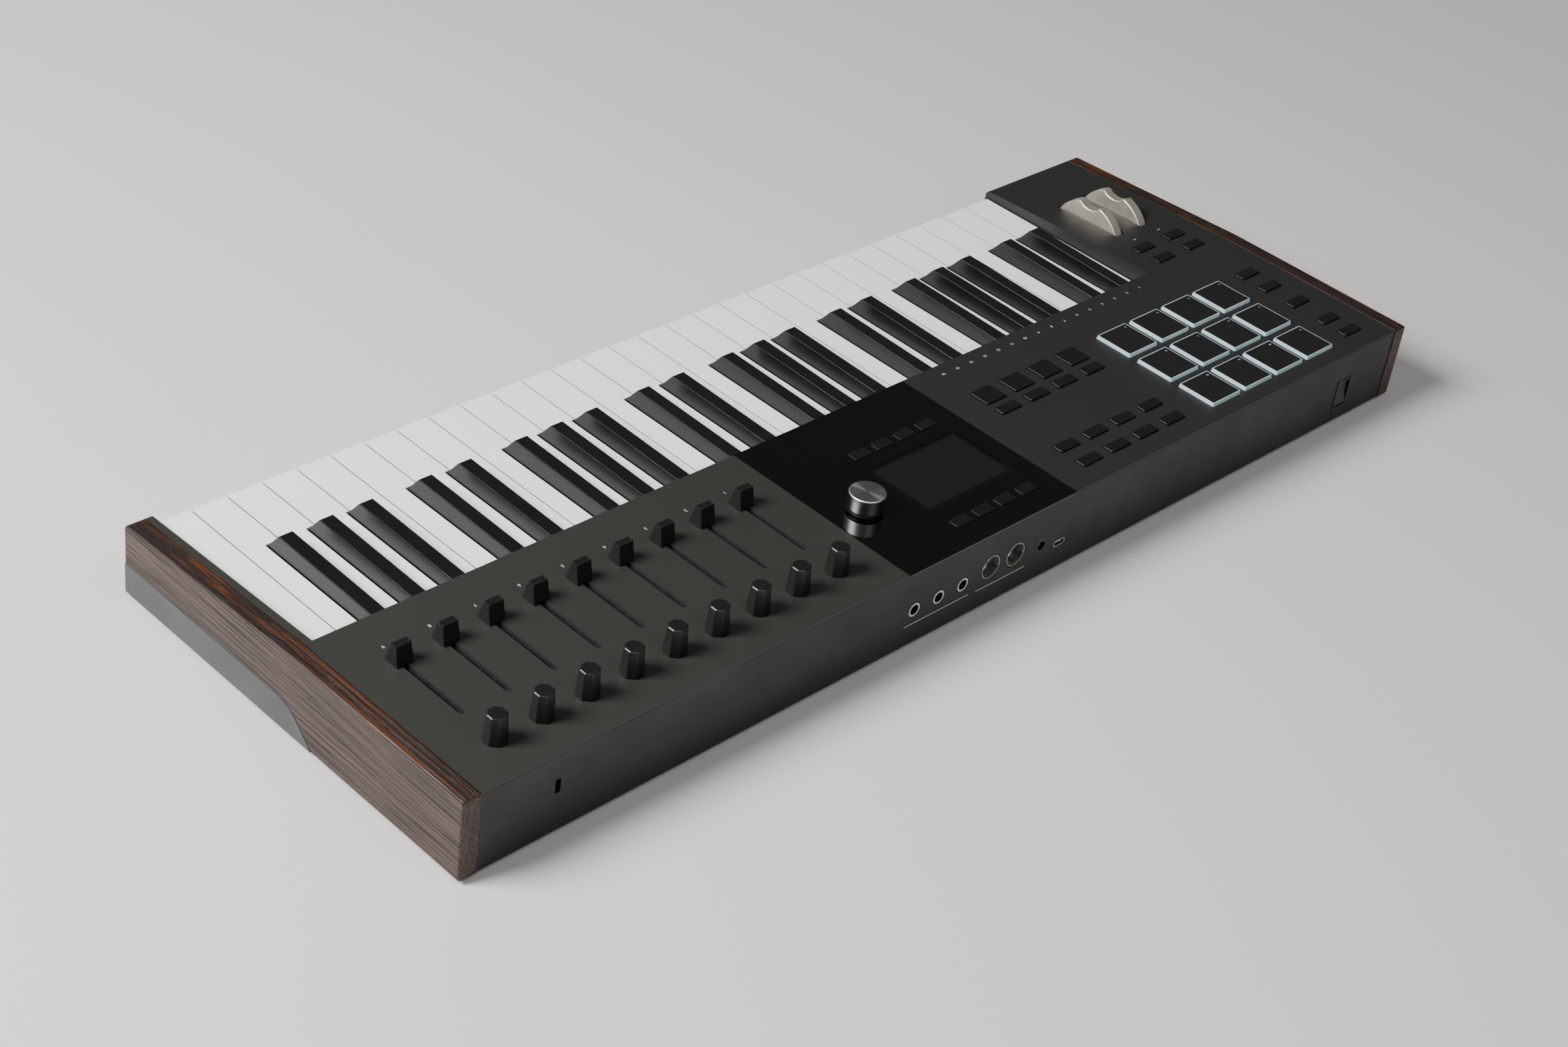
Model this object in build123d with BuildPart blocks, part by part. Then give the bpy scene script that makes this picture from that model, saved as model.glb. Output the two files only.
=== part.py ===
from build123d import *
import os
from math import atan, cos, degrees, radians, sin, tan

# A 49 key control keyboard: wood sides, steel-grey base, three top panels, pads, faders and knobs.
# Frame: origin on the floor under the middle of the body, +X to the treble end, +Y to the rear, +Z up.

# ---------------------------------------------------------------- overall sizes (mm)
body_length = 795.5
body_depth = 289.5
foot_height = 3.0
body_height = 51.4
wood_thickness = 11.5
front_height = 45.1
key_well_depth = 146.0
panel_gap = 0.2

# ---------------------------------------------------------------- walls
floor_wall = 2.0
front_wall = 1.8
sheet = 1.6
arm_wall = 2.0
skirt_wall = 2.6
upstand_height = 44.0

# ---------------------------------------------------------------- keys
octaves = 4
white_pitch = 23.5
key_gap = 0.7
key_side_gap = 0.6
right_cheek = 4.9
key_setback = 2.6
key_drop = 11.4
plate = 3.2
lip_height = 18.5
lip_wall = 2.0
white_notch_from_front = 50.0
black_setback = 1.4
black_notch_gap = 0.6
black_base_width = 11.3
black_top_width = 9.0
black_front_rise = 11.0
black_rear_rise = 9.0
black_front_lean = 37.7
black_skirt = 5.0
black_under_panel = 6.0
pivot_from_well = 14.0
pivot_below_top = 9.0
pivot_rod_radius = 1.5
pivot_clearance = 0.06
boss_radius = 3.5
boss_width = 6.0
key_tail = 10.0
rib_height = 6.0
rib_width = 5.0
rib_setback = 17.0
side_wall = 1.5
side_wall_depth = 11.0

# ---------------------------------------------------------------- key frame and contacts
frame_sheet = 2.0
rail_setback = 8.0
rail_width = 8.0
rail_height = 14.2
felt_height = 1.6
ear_thickness = 2.4
ear_half_depth = 5.0
spring_radius = 2.0
spring_wire = 0.5
spring_behind_pivot = 8.0
spring_gap = 0.3
contact_board_width = 34.0
contact_board_behind_notch = 10.0
contact_board_height = 14.6
dome_height = 6.2
dome_radius = 4.0

# ---------------------------------------------------------------- top panels
centre_left = -61.05
centre_right = 81.95
board_thickness = 1.6
board_below_panel = 10.0

# ---------------------------------------------------------------- faders and knobs
control_count = 9
control_pitch = 30.28
fader_rest_from_well = 38.8
fader_travel = 45.0
fader_slot_width = 3.6
fader_slot_end = 7.4
cap_base = (11.0, 10.4)
cap_top = (10.0, 4.7)
cap_height = 11.8
cap_lean = 0.65
cap_lift = 0.5
cap_groove_radius = 2.6
cap_groove_depth = 0.45
stem_size = (1.2, 3.4)
track_width = 9.0
track_end = 6.0
track_height = 8.0
track_slot_width = 2.0
track_floor = 2.0
track_slot_end = 0.8
knob_row_from_rear = 27.85
knob_base_radius = 7.0
knob_top_radius = 5.7
knob_height = 16.4
knob_sides = 8
knob_edge = 0.6
control_lift = 0.6
shaft_radius = 3.0
shaft_clearance = 0.05
bushing_radius = 3.5
bushing_clearance = 0.2
encoder_width = 12.0
encoder_height = 6.5

# ---------------------------------------------------------------- centre panel controls
display_size = (74.7, 50.1)
display_x = -9.25
display_from_rear = 62.15
display_recess = 0.3
display_glass = 1.2
display_button_pitch = 18.8
display_button_size = (13.7, 8.0)
display_buttons_from_rear = (102.0, 20.5)
display_button_height = 0.5
dial_x = 57.2
dial_from_rear = 60.45
dial_radius = 11.0
dial_height = 12.5
dial_groove = 0.5

# ---------------------------------------------------------------- bass panel controls
pad_columns = 4
pad_rows = 3
pad_pitch = (32.8, 34.0)
pad_first_from_centre = 158.4
pad_rear_from_rear = 26.3
pad_base = 28.4
pad_top = 27.2
pad_height = 2.0
pad_clearance = 0.35
pad_travel = 0.6
pad_flange = 1.0
pad_corner = 1.2
button_size = (17.8, 7.8)
large_button_size = (17.8, 15.0)
button_height = 1.2
button_clearance = 0.3
button_travel = 1.0
button_flange = 0.9
button_corner = 1.2
button_edge = 0.5
switch_size = 6.0
switch_height = 3.5
transport_pitch = 26.5
transport_first_from_centre = 33.2
large_row_from_rear = 101.9
small_row_from_rear = 85.4
rear_button_pitch = 26.3
rear_first_from_centre = 31.9
rear_rows_from_rear = (36.6, 18.8)
edge_column_from_side = 27.5
edge_rows_from_rear = (104.2, 85.1, 61.5, 36.3, 18.9)
wheel_buttons_pitch = (32.6, 17.2)
wheel_buttons_from_side = 54.8
wheel_buttons_from_rear = 159.9

# ---------------------------------------------------------------- wheels
wheel_radius = 29.0
wheel_width = 7.5
wheel_pitch = 26.0
wheel_first_from_row = 28.25
wheel_y_from_front = 72.8
wheel_axis_height = 35.9
wheel_slot_gap = 0.9
thumb_radius = 12.9
thumb_depth = 4.9
thumb_tilt = 2.5
wheel_edge = 0.6
axle_radius = 3.0
axle_clearance = 0.06
bracket_ear = 3.0
bracket_gap = 1.0
bracket_half_depth = 13.0
bracket_sheet = 1.5
wheel_sensor_radius = 8.0
wheel_sensor_depth = 4.0
centring_coil_radius = 6.0
centring_wire = 0.6

# ---------------------------------------------------------------- rear sockets, all heights above the floor
rear_recess = 0.5
jack_x = 73.25
jack_pitch = 20.2
jack_z = 27.0
jack_bore = 3.25
jack_depth = 15.0
jack_nose = 5.0
jack_body = (14.0, 20.0, 14.0)
round_socket_x = 9.25
round_socket_pitch = 21.5
round_socket_z = 29.5
round_socket_radius = 8.6
round_socket_inner = 7.2
round_socket_depth = 7.0
round_socket_body = (19.0, 14.0, 19.0)
round_socket_pin_circle = 4.6
round_socket_pin = 0.8
power_x = -36.05
power_z = 25.5
power_bore = 3.1
power_pin = 1.0
power_body = (10.0, 14.0, 11.0)
data_x = -53.25
data_z = 21.0
data_size = (9.2, 3.4)
data_wall = 0.5
data_depth = 9.3
socket_board_top = 20.0
socket_clearance = 0.2
lock_x = 335.55
lock_z = 32.9
lock_size = (3.6, 9.0)
switch_x = -338.0
switch_z = 23.0
switch_window = (12.2, 19.0)
switch_bezel = 1.6
switch_bezel_lift = 0.4
switch_depth = 14.0
rocker_clearance = 0.35
rocker_half_angle = 6.0
rocker_pivot_depth = 4.5
rocker_pin_radius = 1.2
rocker_pin_clearance = 0.05

# ---------------------------------------------------------------- posts, feet, screws
post_radius = 3.4
post_from_pivot = 14.5
board_post_reach = 24.0
post_from_rear = 9.0
screw_radius = 1.45
screw_hole = 1.5
screw_head_radius = 2.8
screw_head_height = 1.5
screw_depth = 16.0
foot_radius = 8.0
foot_inset_x = 45.0
foot_inset_y = 24.0
side_screw_depth = 7.0
side_screw_height = 25.0

# ---------------------------------------------------------------- derived places
half = body_length / 2
wood_inner = half - wood_thickness
front_y = -body_depth / 2
rear_y = body_depth / 2
well_y = front_y + key_well_depth
panel_rear_y = rear_y - rear_recess
panel_top = foot_height + body_height
panel_under = panel_top - sheet
front_top = foot_height + front_height
key_top = panel_top - key_drop
floor_top = foot_height + floor_wall
panel_end = wood_inner - panel_gap
slope = (panel_top - front_top) / key_well_depth
row_right = wood_inner - right_cheek - key_side_gap
white_count = 7 * octaves + 1
row_left = row_right - white_count * white_pitch
block_right = row_left - key_side_gap
key_front = front_y + key_setback
notch_y = front_y + key_setback + white_notch_from_front
pivot_y = well_y + pivot_from_well
pivot_z = key_top - pivot_below_top
board_top = panel_top - board_below_panel
treble_centre = (centre_right + panel_end) / 2
fader_y = well_y + fader_rest_from_well
knob_y = rear_y - knob_row_from_rear
display_y = rear_y - display_from_rear
dial_y = rear_y - dial_from_rear
wheel_y = front_y + wheel_y_from_front
wheel_xs = [row_left - wheel_first_from_row - wheel_pitch * i for i in range(2)]
control_xs = [treble_centre + control_pitch * (i - (control_count - 1) / 2) for i in range(control_count)]
wood_lower_z = foot_height + 19.5
step_start_y = well_y + 3.25
step_end_y = well_y + 22.75
step_radius = 30.0
step_foot_radius = 10.0
wood_nose_radius = 3.5


def top_at(y):
    """Height of the top surface at y: flat behind the keys, sloping beside them."""
    return panel_top - max(0.0, well_y - y) * slope


def black_centres():
    """Black key centres in one octave, from its left edge: five lanes over C to E, seven over F to B."""
    low_lane = 3 * white_pitch / 5
    high_lane = 4 * white_pitch / 7
    low = [low_lane * 1.5, low_lane * 3.5]
    high = [3 * white_pitch + high_lane * k for k in (1.5, 3.5, 5.5)]
    return low + high


def save(name, builder):
    """Label a finished piece and write it as its own file."""
    builder.part.label = name
    export_step(builder.part, f"parts/{name}.step")


os.makedirs("parts", exist_ok=True)

# ---------------------------------------------------------------- buttons: centre, size
button_x0 = centre_left - transport_first_from_centre
transport_xs = [button_x0 - transport_pitch * i for i in range(4)]
edge_x = -half + edge_column_from_side + wood_thickness
pair_x = -half + wheel_buttons_from_side
pair_y = rear_y - wheel_buttons_from_rear
bass_buttons = [(x, rear_y - large_row_from_rear, large_button_size) for x in transport_xs]
bass_buttons += [(x, rear_y - small_row_from_rear, button_size) for x in transport_xs]
rear_xs = [centre_left - rear_first_from_centre - rear_button_pitch * i for i in range(4)]
bass_buttons += [(x, rear_y - d, button_size) for d in rear_rows_from_rear for x in rear_xs]
bass_buttons += [(edge_x, rear_y - d, button_size) for d in edge_rows_from_rear]
for column in (-0.5, 0.5):
    for row in (-0.5, 0.5):
        place = (pair_x + wheel_buttons_pitch[0] * column, pair_y + wheel_buttons_pitch[1] * row)
        bass_buttons.append((place[0], place[1], button_size))
display_buttons = []
for d in display_buttons_from_rear:
    for i in range(4):
        x = display_x + display_button_pitch * (i - 1.5)
        display_buttons.append((x, rear_y - d, display_button_size))
pad_centres = []
for row in range(pad_rows):
    for column in range(pad_columns):
        x = centre_left - pad_first_from_centre - pad_pitch[0] * column
        pad_centres.append((x, rear_y - pad_rear_from_rear - pad_pitch[1] * row))

# ---------------------------------------------------------------- posts that carry the panels
post_y_front = pivot_y + post_from_pivot
post_y_rear = rear_y - post_from_rear
pad_gap_x = (transport_xs[-1] + pad_centres[0][0]) / 2
post_xs_front = [-wood_inner + 9.0, pad_gap_x, centre_left - 8.0, centre_right + 8.0]
post_xs_front += [control_xs[3] + control_pitch / 2, control_xs[7] + control_pitch / 2]
post_xs_rear = [-wood_inner + 9.0, pad_gap_x, centre_left - 8.0, centre_right + 12.0]
post_xs_rear += [treble_centre + 2.0, panel_end - 9.0]
posts = [(x, post_y_front) for x in post_xs_front] + [(x, post_y_rear) for x in post_xs_rear]
side_screw_ys = [well_y + 32.0, (well_y + rear_y) / 2 + 14.0, rear_y - 22.0]
foot_xs = (-half + foot_inset_x, 0.0, half - foot_inset_x)
foot_ys = (front_y + foot_inset_y, rear_y - foot_inset_y)


# ---------------------------------------------------------------- base shell
with BuildPart() as base_shell:
    with BuildSketch(Plane.XY.offset(foot_height)):
        with BuildLine():
            Polyline(
                (-panel_end, front_y),
                (panel_end, front_y),
                (panel_end, panel_rear_y - sheet - panel_gap),
                (-panel_end, panel_rear_y - sheet - panel_gap),
                close=True,
            )
        make_face()
    extrude(amount=floor_wall)
    with BuildSketch(Plane.XY.offset(foot_height)):
        with Locations((0, front_y + front_wall / 2)):
            Rectangle(2 * panel_end, front_wall)
    extrude(amount=wood_lower_z - foot_height)
    for side in (-1, 1):
        with BuildSketch(Plane.XY.offset(foot_height)):
            with Locations((side * (panel_end - floor_wall / 2),
                (well_y + 6 + panel_rear_y - sheet - panel_gap) / 2)):
                Rectangle(floor_wall, panel_rear_y - sheet - panel_gap - well_y - 6)
        extrude(amount=upstand_height)
        with BuildSketch(Plane.YZ.offset(side * panel_end)):
            with BuildLine():
                Polyline(
                    (front_y, foot_height),
                    (step_end_y - panel_gap, foot_height),
                    (step_start_y - panel_gap, wood_lower_z - panel_gap),
                    (front_y, wood_lower_z - panel_gap),
                    close=True,
                )
            make_face()
            fillet(vertices().sort_by_distance((step_start_y - panel_gap, wood_lower_z - panel_gap))[0],
                step_radius)
        extrude(amount=side * (half - panel_end))
        pocket_depth = wood_thickness - skirt_wall
        pocket_length = step_start_y - front_y - 24
        with Locations((side * (panel_end + pocket_depth / 2), front_y + 4 + pocket_length / 2,
            wood_lower_z / 2 + 2)):
            Box(pocket_depth, pocket_length, wood_lower_z - 8 - foot_height, mode=Mode.SUBTRACT)
    with BuildSketch(Plane.XY.offset(floor_top)):
        with Locations(*posts):
            Circle(post_radius)
    extrude(amount=panel_under - floor_top)
    with BuildSketch(Plane.XY.offset(floor_top)):
        with Locations((pair_x - board_post_reach, pair_y), (pair_x + board_post_reach, pair_y)):
            Circle(post_radius)
    extrude(amount=board_top - board_thickness - floor_top)
    with BuildSketch(Plane.XY.offset(foot_height)):
        with Locations(*posts):
            Circle(screw_hole)
    extrude(amount=screw_depth, mode=Mode.SUBTRACT)
    for side in (-1, 1):
        for y in side_screw_ys:
            with Locations((side * (panel_end - floor_wall / 2), y, side_screw_height)):
                Cylinder(screw_hole, 2 * floor_wall, rotation=(0, 90, 0), mode=Mode.SUBTRACT)
save("base_shell", base_shell)


# ---------------------------------------------------------------- wood sides
def wood_side(side):
    """One wood side: full height behind the keys, stepped up over the base at the front."""
    with BuildPart() as wood:
        with BuildSketch(Plane.YZ.offset(side * wood_inner)):
            with BuildLine():
                Polyline(
                    (front_y, wood_lower_z),
                    (front_y, front_top),
                    (well_y, panel_top),
                    (rear_y, panel_top),
                    (rear_y, foot_height),
                    (step_end_y, foot_height),
                    (step_start_y, wood_lower_z),
                    close=True,
                )
            make_face()
            fillet(vertices().sort_by_distance((front_y, front_top))[0], wood_nose_radius)
            fillet(vertices().sort_by_distance((step_start_y, wood_lower_z))[0], step_radius)
            fillet(vertices().sort_by_distance((step_end_y, foot_height))[0], step_foot_radius)
            fillet(vertices().sort_by_distance((rear_y, panel_top))[0], 1.5)
        extrude(amount=side * wood_thickness)
        outer = wood.faces().sort_by(Axis.X)[-1 if side > 0 else 0]
        fillet(outer.edges(), 1.2)
        for y in side_screw_ys:
            with Locations((side * (wood_inner + side_screw_depth / 2), y, side_screw_height)):
                Cylinder(screw_hole, side_screw_depth, rotation=(0, 90, 0), mode=Mode.SUBTRACT)
    return wood


save("wood_side_left", wood_side(-1))
save("wood_side_right", wood_side(1))


# ---------------------------------------------------------------- top panels
with BuildPart() as panel_treble:
    with BuildSketch(Plane.XY.offset(panel_under)):
        with Locations(((centre_right + panel_gap + panel_end) / 2, (well_y + panel_rear_y) / 2)):
            Rectangle(panel_end - centre_right - panel_gap, panel_rear_y - well_y)
    extrude(amount=sheet)
    with BuildSketch(Plane.YZ.offset(panel_end)):
        with BuildLine():
            Polyline(
                (well_y + 6, panel_top),
                (well_y, panel_top),
                (front_y, front_top),
                (front_y, wood_lower_z + panel_gap),
                (well_y + 6, wood_lower_z + panel_gap),
                close=True,
            )
        make_face()
        fillet(vertices().sort_by_distance((front_y, front_top))[0], wood_nose_radius)
    extrude(amount=-right_cheek)
    slot_length = fader_travel + 2 * fader_slot_end
    with BuildSketch(Plane.XY.offset(panel_under)):
        with Locations(*[(x, fader_y + fader_travel / 2) for x in control_xs]):
            SlotOverall(slot_length, fader_slot_width, rotation=90)
        with Locations(*[(x, knob_y) for x in control_xs]):
            Circle(bushing_radius + bushing_clearance)
    extrude(amount=sheet, mode=Mode.SUBTRACT)
save("panel_treble", panel_treble)

with BuildPart() as panel_centre:
    centre_width = centre_right - centre_left
    with BuildSketch(Plane.XY.offset(panel_under)):
        with Locations(((centre_left + centre_right) / 2, (well_y + panel_rear_y) / 2)):
            Rectangle(centre_width, panel_rear_y - well_y)
        with Locations((display_x, display_y)):
            Rectangle(*display_size, mode=Mode.SUBTRACT)
        with Locations((dial_x, dial_y)):
            Circle(bushing_radius + bushing_clearance, mode=Mode.SUBTRACT)
        for x, y, size in display_buttons:
            with Locations((x, y)):
                RectangleRounded(
                    size[0] + 2 * button_clearance,
                    size[1] + 2 * button_clearance,
                    button_corner + button_clearance,
                    mode=Mode.SUBTRACT,
                )
    extrude(amount=sheet)
save("panel_centre", panel_centre)

with BuildPart() as panel_bass:
    with BuildSketch(Plane.XY.offset(panel_under)):
        with Locations(((-panel_end + centre_left - panel_gap) / 2, (well_y + panel_rear_y) / 2)):
            Rectangle(centre_left - panel_gap + panel_end, panel_rear_y - well_y)
    extrude(amount=sheet)
    block_width = block_right + panel_end
    with BuildSketch(Plane.YZ.offset(-panel_end)):
        with BuildLine():
            Polyline(
                (well_y + 1, panel_top),
                (well_y, panel_top),
                (front_y, front_top),
                (front_y, wood_lower_z + panel_gap),
                (front_y + arm_wall, wood_lower_z + panel_gap),
                (front_y + arm_wall, top_at(front_y + arm_wall) - sheet),
                (well_y, panel_under),
                (well_y + 1, panel_under),
                close=True,
            )
        make_face()
        fillet(vertices().sort_by_distance((front_y, front_top))[0], wood_nose_radius)
    extrude(amount=block_width)
    with BuildSketch(Plane.YZ.offset(block_right)):
        with BuildLine():
            Polyline(
                (well_y + 6, panel_top),
                (well_y, panel_top),
                (front_y, front_top),
                (front_y, wood_lower_z + panel_gap),
                (well_y + 6, wood_lower_z + panel_gap),
                close=True,
            )
        make_face()
        fillet(vertices().sort_by_distance((front_y, front_top))[0], wood_nose_radius)
    extrude(amount=-arm_wall)
    rim_height = top_at(wheel_y) - sheet - wheel_axis_height
    slot_y_half = (wheel_radius**2 - rim_height**2) ** 0.5 + 1.5 * wheel_slot_gap
    with BuildSketch(Plane.XY.offset(wood_lower_z + 12)):
        with Locations(*[(x, wheel_y) for x in wheel_xs]):
            RectangleRounded(wheel_width + 2 * wheel_slot_gap, 2 * slot_y_half, 0.8)
        for x, y, size in bass_buttons:
            with Locations((x, y)):
                RectangleRounded(
                    size[0] + 2 * button_clearance,
                    size[1] + 2 * button_clearance,
                    button_corner + button_clearance,
                )
        for x, y in pad_centres:
            with Locations((x, y)):
                RectangleRounded(pad_base + 2 * pad_clearance, pad_base + 2 * pad_clearance,
                    pad_corner + pad_clearance)
    extrude(amount=panel_top - wood_lower_z, mode=Mode.SUBTRACT)
save("panel_bass", panel_bass)

# ---------------------------------------------------------------- rear panel
round_socket_xs = [round_socket_x - round_socket_pitch * i for i in range(2)]
jack_xs = [jack_x - jack_pitch * i for i in range(3)]
rear_face = Plane(origin=(0, panel_rear_y, 0), x_dir=(1, 0, 0), z_dir=(0, -1, 0))
rear_inner = panel_rear_y - sheet
with BuildPart() as rear_panel:
    with BuildSketch(rear_face):
        with Locations((0, (foot_height + panel_under - panel_gap) / 2)):
            Rectangle(2 * panel_end, panel_under - panel_gap - foot_height)
        with Locations(*[(x, jack_z) for x in jack_xs]):
            Circle(jack_nose + socket_clearance, mode=Mode.SUBTRACT)
        with Locations(*[(x, round_socket_z) for x in round_socket_xs]):
            Circle(round_socket_radius + socket_clearance, mode=Mode.SUBTRACT)
        with Locations((power_x, power_z)):
            Rectangle(power_body[0] + 2 * socket_clearance, power_body[2] + 2 * socket_clearance,
                mode=Mode.SUBTRACT)
        with Locations((data_x, data_z)):
            margin = 2 * data_wall + 2 * socket_clearance
            SlotOverall(data_size[0] + margin, data_size[1] + margin, mode=Mode.SUBTRACT)
        with Locations((lock_x, lock_z)):
            RectangleRounded(lock_size[0], lock_size[1], 0.8, mode=Mode.SUBTRACT)
        with Locations((switch_x, switch_z)):
            Rectangle(
                switch_window[0] + 2 * switch_bezel,
                switch_window[1] + 2 * switch_bezel,
                mode=Mode.SUBTRACT,
            )
    extrude(amount=sheet)
save("rear_panel", rear_panel)


# ---------------------------------------------------------------- keys
black_offsets = black_centres()
notch_half = black_base_width / 2 + black_notch_gap
tail_y = pivot_y + key_tail


def white_shape(note, last=False):
    """One white key, its left edge at x = 0. note counts white keys from C."""
    left = key_gap / 2
    right = white_pitch - key_gap / 2
    locals_left = [
        b - note * white_pitch + notch_half
        for b in black_offsets if abs(b - note * white_pitch) < white_pitch / 2
    ]
    next_edge = (note + 1) * white_pitch
    locals_right = [
        b - note * white_pitch - notch_half
        for b in black_offsets if abs(b - next_edge) < white_pitch / 2
    ]
    tail_left = locals_left[0] if locals_left and not last else left
    tail_right = locals_right[0] if locals_right and not last else right
    middle = (tail_left + tail_right) / 2
    outline = [(left, key_front), (right, key_front)]
    if tail_right < right:
        outline += [(right, notch_y), (tail_right, notch_y)]
    outline += [(tail_right, tail_y), (tail_left, tail_y)]
    if tail_left > left:
        outline += [(tail_left, notch_y), (left, notch_y)]
    with BuildPart() as key:
        with BuildSketch(Plane.XY.offset(key_top - plate)):
            with BuildLine():
                Polyline(*outline, close=True)
            make_face()
            fillet(vertices().group_by(Axis.Y)[0], 1.6)
        extrude(amount=plate)
        with BuildSketch(Plane.XY.offset(key_top - lip_height)):
            with Locations(((left + right) / 2, key_front + 1.6 + lip_wall / 2)):
                Rectangle(right - left, lip_wall)
            with Locations(((left + right) / 2, key_front + 1.6)):
                Rectangle(right - left, 3.2)
            fillet(vertices().group_by(Axis.Y)[0], 1.6)
        extrude(amount=lip_height - plate / 2)
        for x in (left + side_wall / 2, right - side_wall / 2):
            with Locations((x, (key_front + notch_y) / 2, key_top - side_wall_depth / 2 - plate / 2)):
                Box(side_wall, notch_y - key_front - 4, side_wall_depth)
        with Locations((middle, (key_front + rib_setback + pivot_y) / 2, key_top - plate - rib_height / 2)):
            Box(rib_width, pivot_y - key_front - rib_setback, rib_height)
        with Locations((middle, pivot_y, pivot_z)):
            Cylinder(boss_radius, boss_width, rotation=(0, 90, 0))
        with Locations((middle, pivot_y, pivot_z + boss_radius)):
            Box(boss_width, 2 * boss_radius, 2 * (key_top - plate - pivot_z - boss_radius))
        with Locations((middle, pivot_y, pivot_z)):
            Cylinder(pivot_rod_radius + pivot_clearance, boss_width, rotation=(0, 90, 0),
                mode=Mode.SUBTRACT)
        fillet(key.faces().sort_by(Axis.Z)[-1].edges(), 0.4)
    return key.part


def black_shape():
    """One black key, its middle at x = 0: leaning front, sides that draw in, top that falls to the rear."""
    low_z = key_top - black_skirt
    high_z = key_top + black_front_rise + 1.0
    lean = tan(radians(black_front_lean))
    low_front = notch_y + black_setback
    high_front = low_front + lean * (black_front_rise + 1.0)
    end_y = well_y + black_under_panel
    fall = (black_front_rise - black_rear_rise) / (well_y - high_front)
    with BuildPart() as key:
        with BuildSketch(Plane.XY.offset(key_top)):
            with Locations((0, (low_front + end_y) / 2)):
                Rectangle(black_base_width, end_y - low_front)
        with BuildSketch(Plane.XY.offset(high_z)):
            with Locations((0, (high_front + end_y) / 2)):
                Rectangle(black_top_width, end_y - high_front)
        loft()
        top_plane = Plane(
            origin=(0, high_front, key_top + black_front_rise),
            x_dir=(1, 0, 0),
            z_dir=(0, fall, 1),
        )
        split(bisect_by=top_plane, keep=Keep.BOTTOM)
        top_face = key.faces().sort_by(Axis.Z)[-1]
        fillet(top_face.edges(), 0.7)
        with BuildSketch(Plane.XY.offset(low_z)):
            with Locations((0, (low_front + end_y) / 2)):
                Rectangle(black_base_width, end_y - low_front)
        extrude(amount=black_skirt)
        with Locations((0, (end_y + tail_y) / 2 - 1, key_top - plate / 2)):
            Box(black_top_width, tail_y - end_y + 2, plate)
        with Locations((0, (end_y + pivot_y) / 2, low_z + 1.5)):
            Box(rib_width, pivot_y - end_y + 4, 3.0)
        with Locations((0, pivot_y, pivot_z)):
            Cylinder(boss_radius, boss_width, rotation=(0, 90, 0))
        with Locations((0, pivot_y, (pivot_z + key_top - plate) / 2)):
            Box(boss_width, 2 * boss_radius, key_top - plate - pivot_z)
        with Locations((0, pivot_y, pivot_z)):
            Cylinder(pivot_rod_radius + pivot_clearance, boss_width, rotation=(0, 90, 0),
                mode=Mode.SUBTRACT)
    return key.part


white_names = ("c", "d", "e", "f", "g", "a", "b")
black_names = ("c_sharp", "d_sharp", "f_sharp", "g_sharp", "a_sharp")
octave_width = 7 * white_pitch
for note, name in enumerate(white_names):
    shape = white_shape(note)
    with BuildPart() as keys:
        for octave in range(octaves):
            with Locations((row_left + octave * octave_width + note * white_pitch, 0, 0)):
                add(shape)
        if note == 0:
            with Locations((row_left + octaves * octave_width, 0, 0)):
                add(white_shape(0, last=True))
    save(f"keys_{name}", keys)
black = black_shape()
for offset, name in zip(black_offsets, black_names):
    with BuildPart() as keys:
        for octave in range(octaves):
            with Locations((row_left + octave * octave_width + offset, 0, 0)):
                add(black)
    save(f"keys_{name}", keys)

# ---------------------------------------------------------------- key frame, rod, felts, springs, contacts
ear_xs = [row_left + white_pitch * (7 * k + n) for k in range(octaves) for n in (3, 7)]
ear_xs = [row_left + ear_thickness / 2] + ear_xs + [row_right - ear_thickness / 2]
rail_y = key_front + rail_setback + rail_width / 2
rail_top = floor_top + rail_height
frame_left = row_left + 0.2
frame_width = row_right - row_left - 0.4
frame_front = rail_y - rail_width / 2
frame_rear = pivot_y + spring_behind_pivot + spring_radius + 0.5
contact_y = notch_y + contact_board_behind_notch + contact_board_width / 2
with BuildPart() as key_frame:
    with BuildSketch(Plane.XY.offset(floor_top)):
        with Locations((frame_left + frame_width / 2, (frame_front + frame_rear) / 2)):
            Rectangle(frame_width, frame_rear - frame_front)
    extrude(amount=frame_sheet)
    with BuildSketch(Plane.XY.offset(floor_top)):
        with Locations((frame_left + frame_width / 2, rail_y)):
            Rectangle(frame_width, rail_width)
    extrude(amount=rail_height)
    for x in ear_xs:
        with Locations((x, pivot_y, (floor_top + pivot_z + boss_radius) / 2)):
            Box(ear_thickness, 2 * ear_half_depth, pivot_z + boss_radius - floor_top)
    with Locations(*[(x, contact_y, floor_top + contact_board_height / 2) for x in ear_xs]):
        Box(ear_thickness, contact_board_width - 6, contact_board_height)
    rod_hole_length = row_right - row_left + 4
    with Locations(((row_left + row_right) / 2, pivot_y, pivot_z)):
        Cylinder(pivot_rod_radius + pivot_clearance, rod_hole_length, rotation=(0, 90, 0),
            mode=Mode.SUBTRACT)
save("key_frame", key_frame)

with BuildPart() as key_pivot_rod:
    with Locations(((row_left + row_right) / 2, pivot_y, pivot_z)):
        Cylinder(pivot_rod_radius, row_right - row_left, rotation=(0, 90, 0))
save("key_pivot_rod", key_pivot_rod)

with BuildPart() as key_felts:
    with Locations((frame_left + frame_width / 2, rail_y, rail_top + felt_height / 2)):
        Box(frame_width, rail_width - 1, felt_height)
save("key_felts", key_felts)

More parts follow.
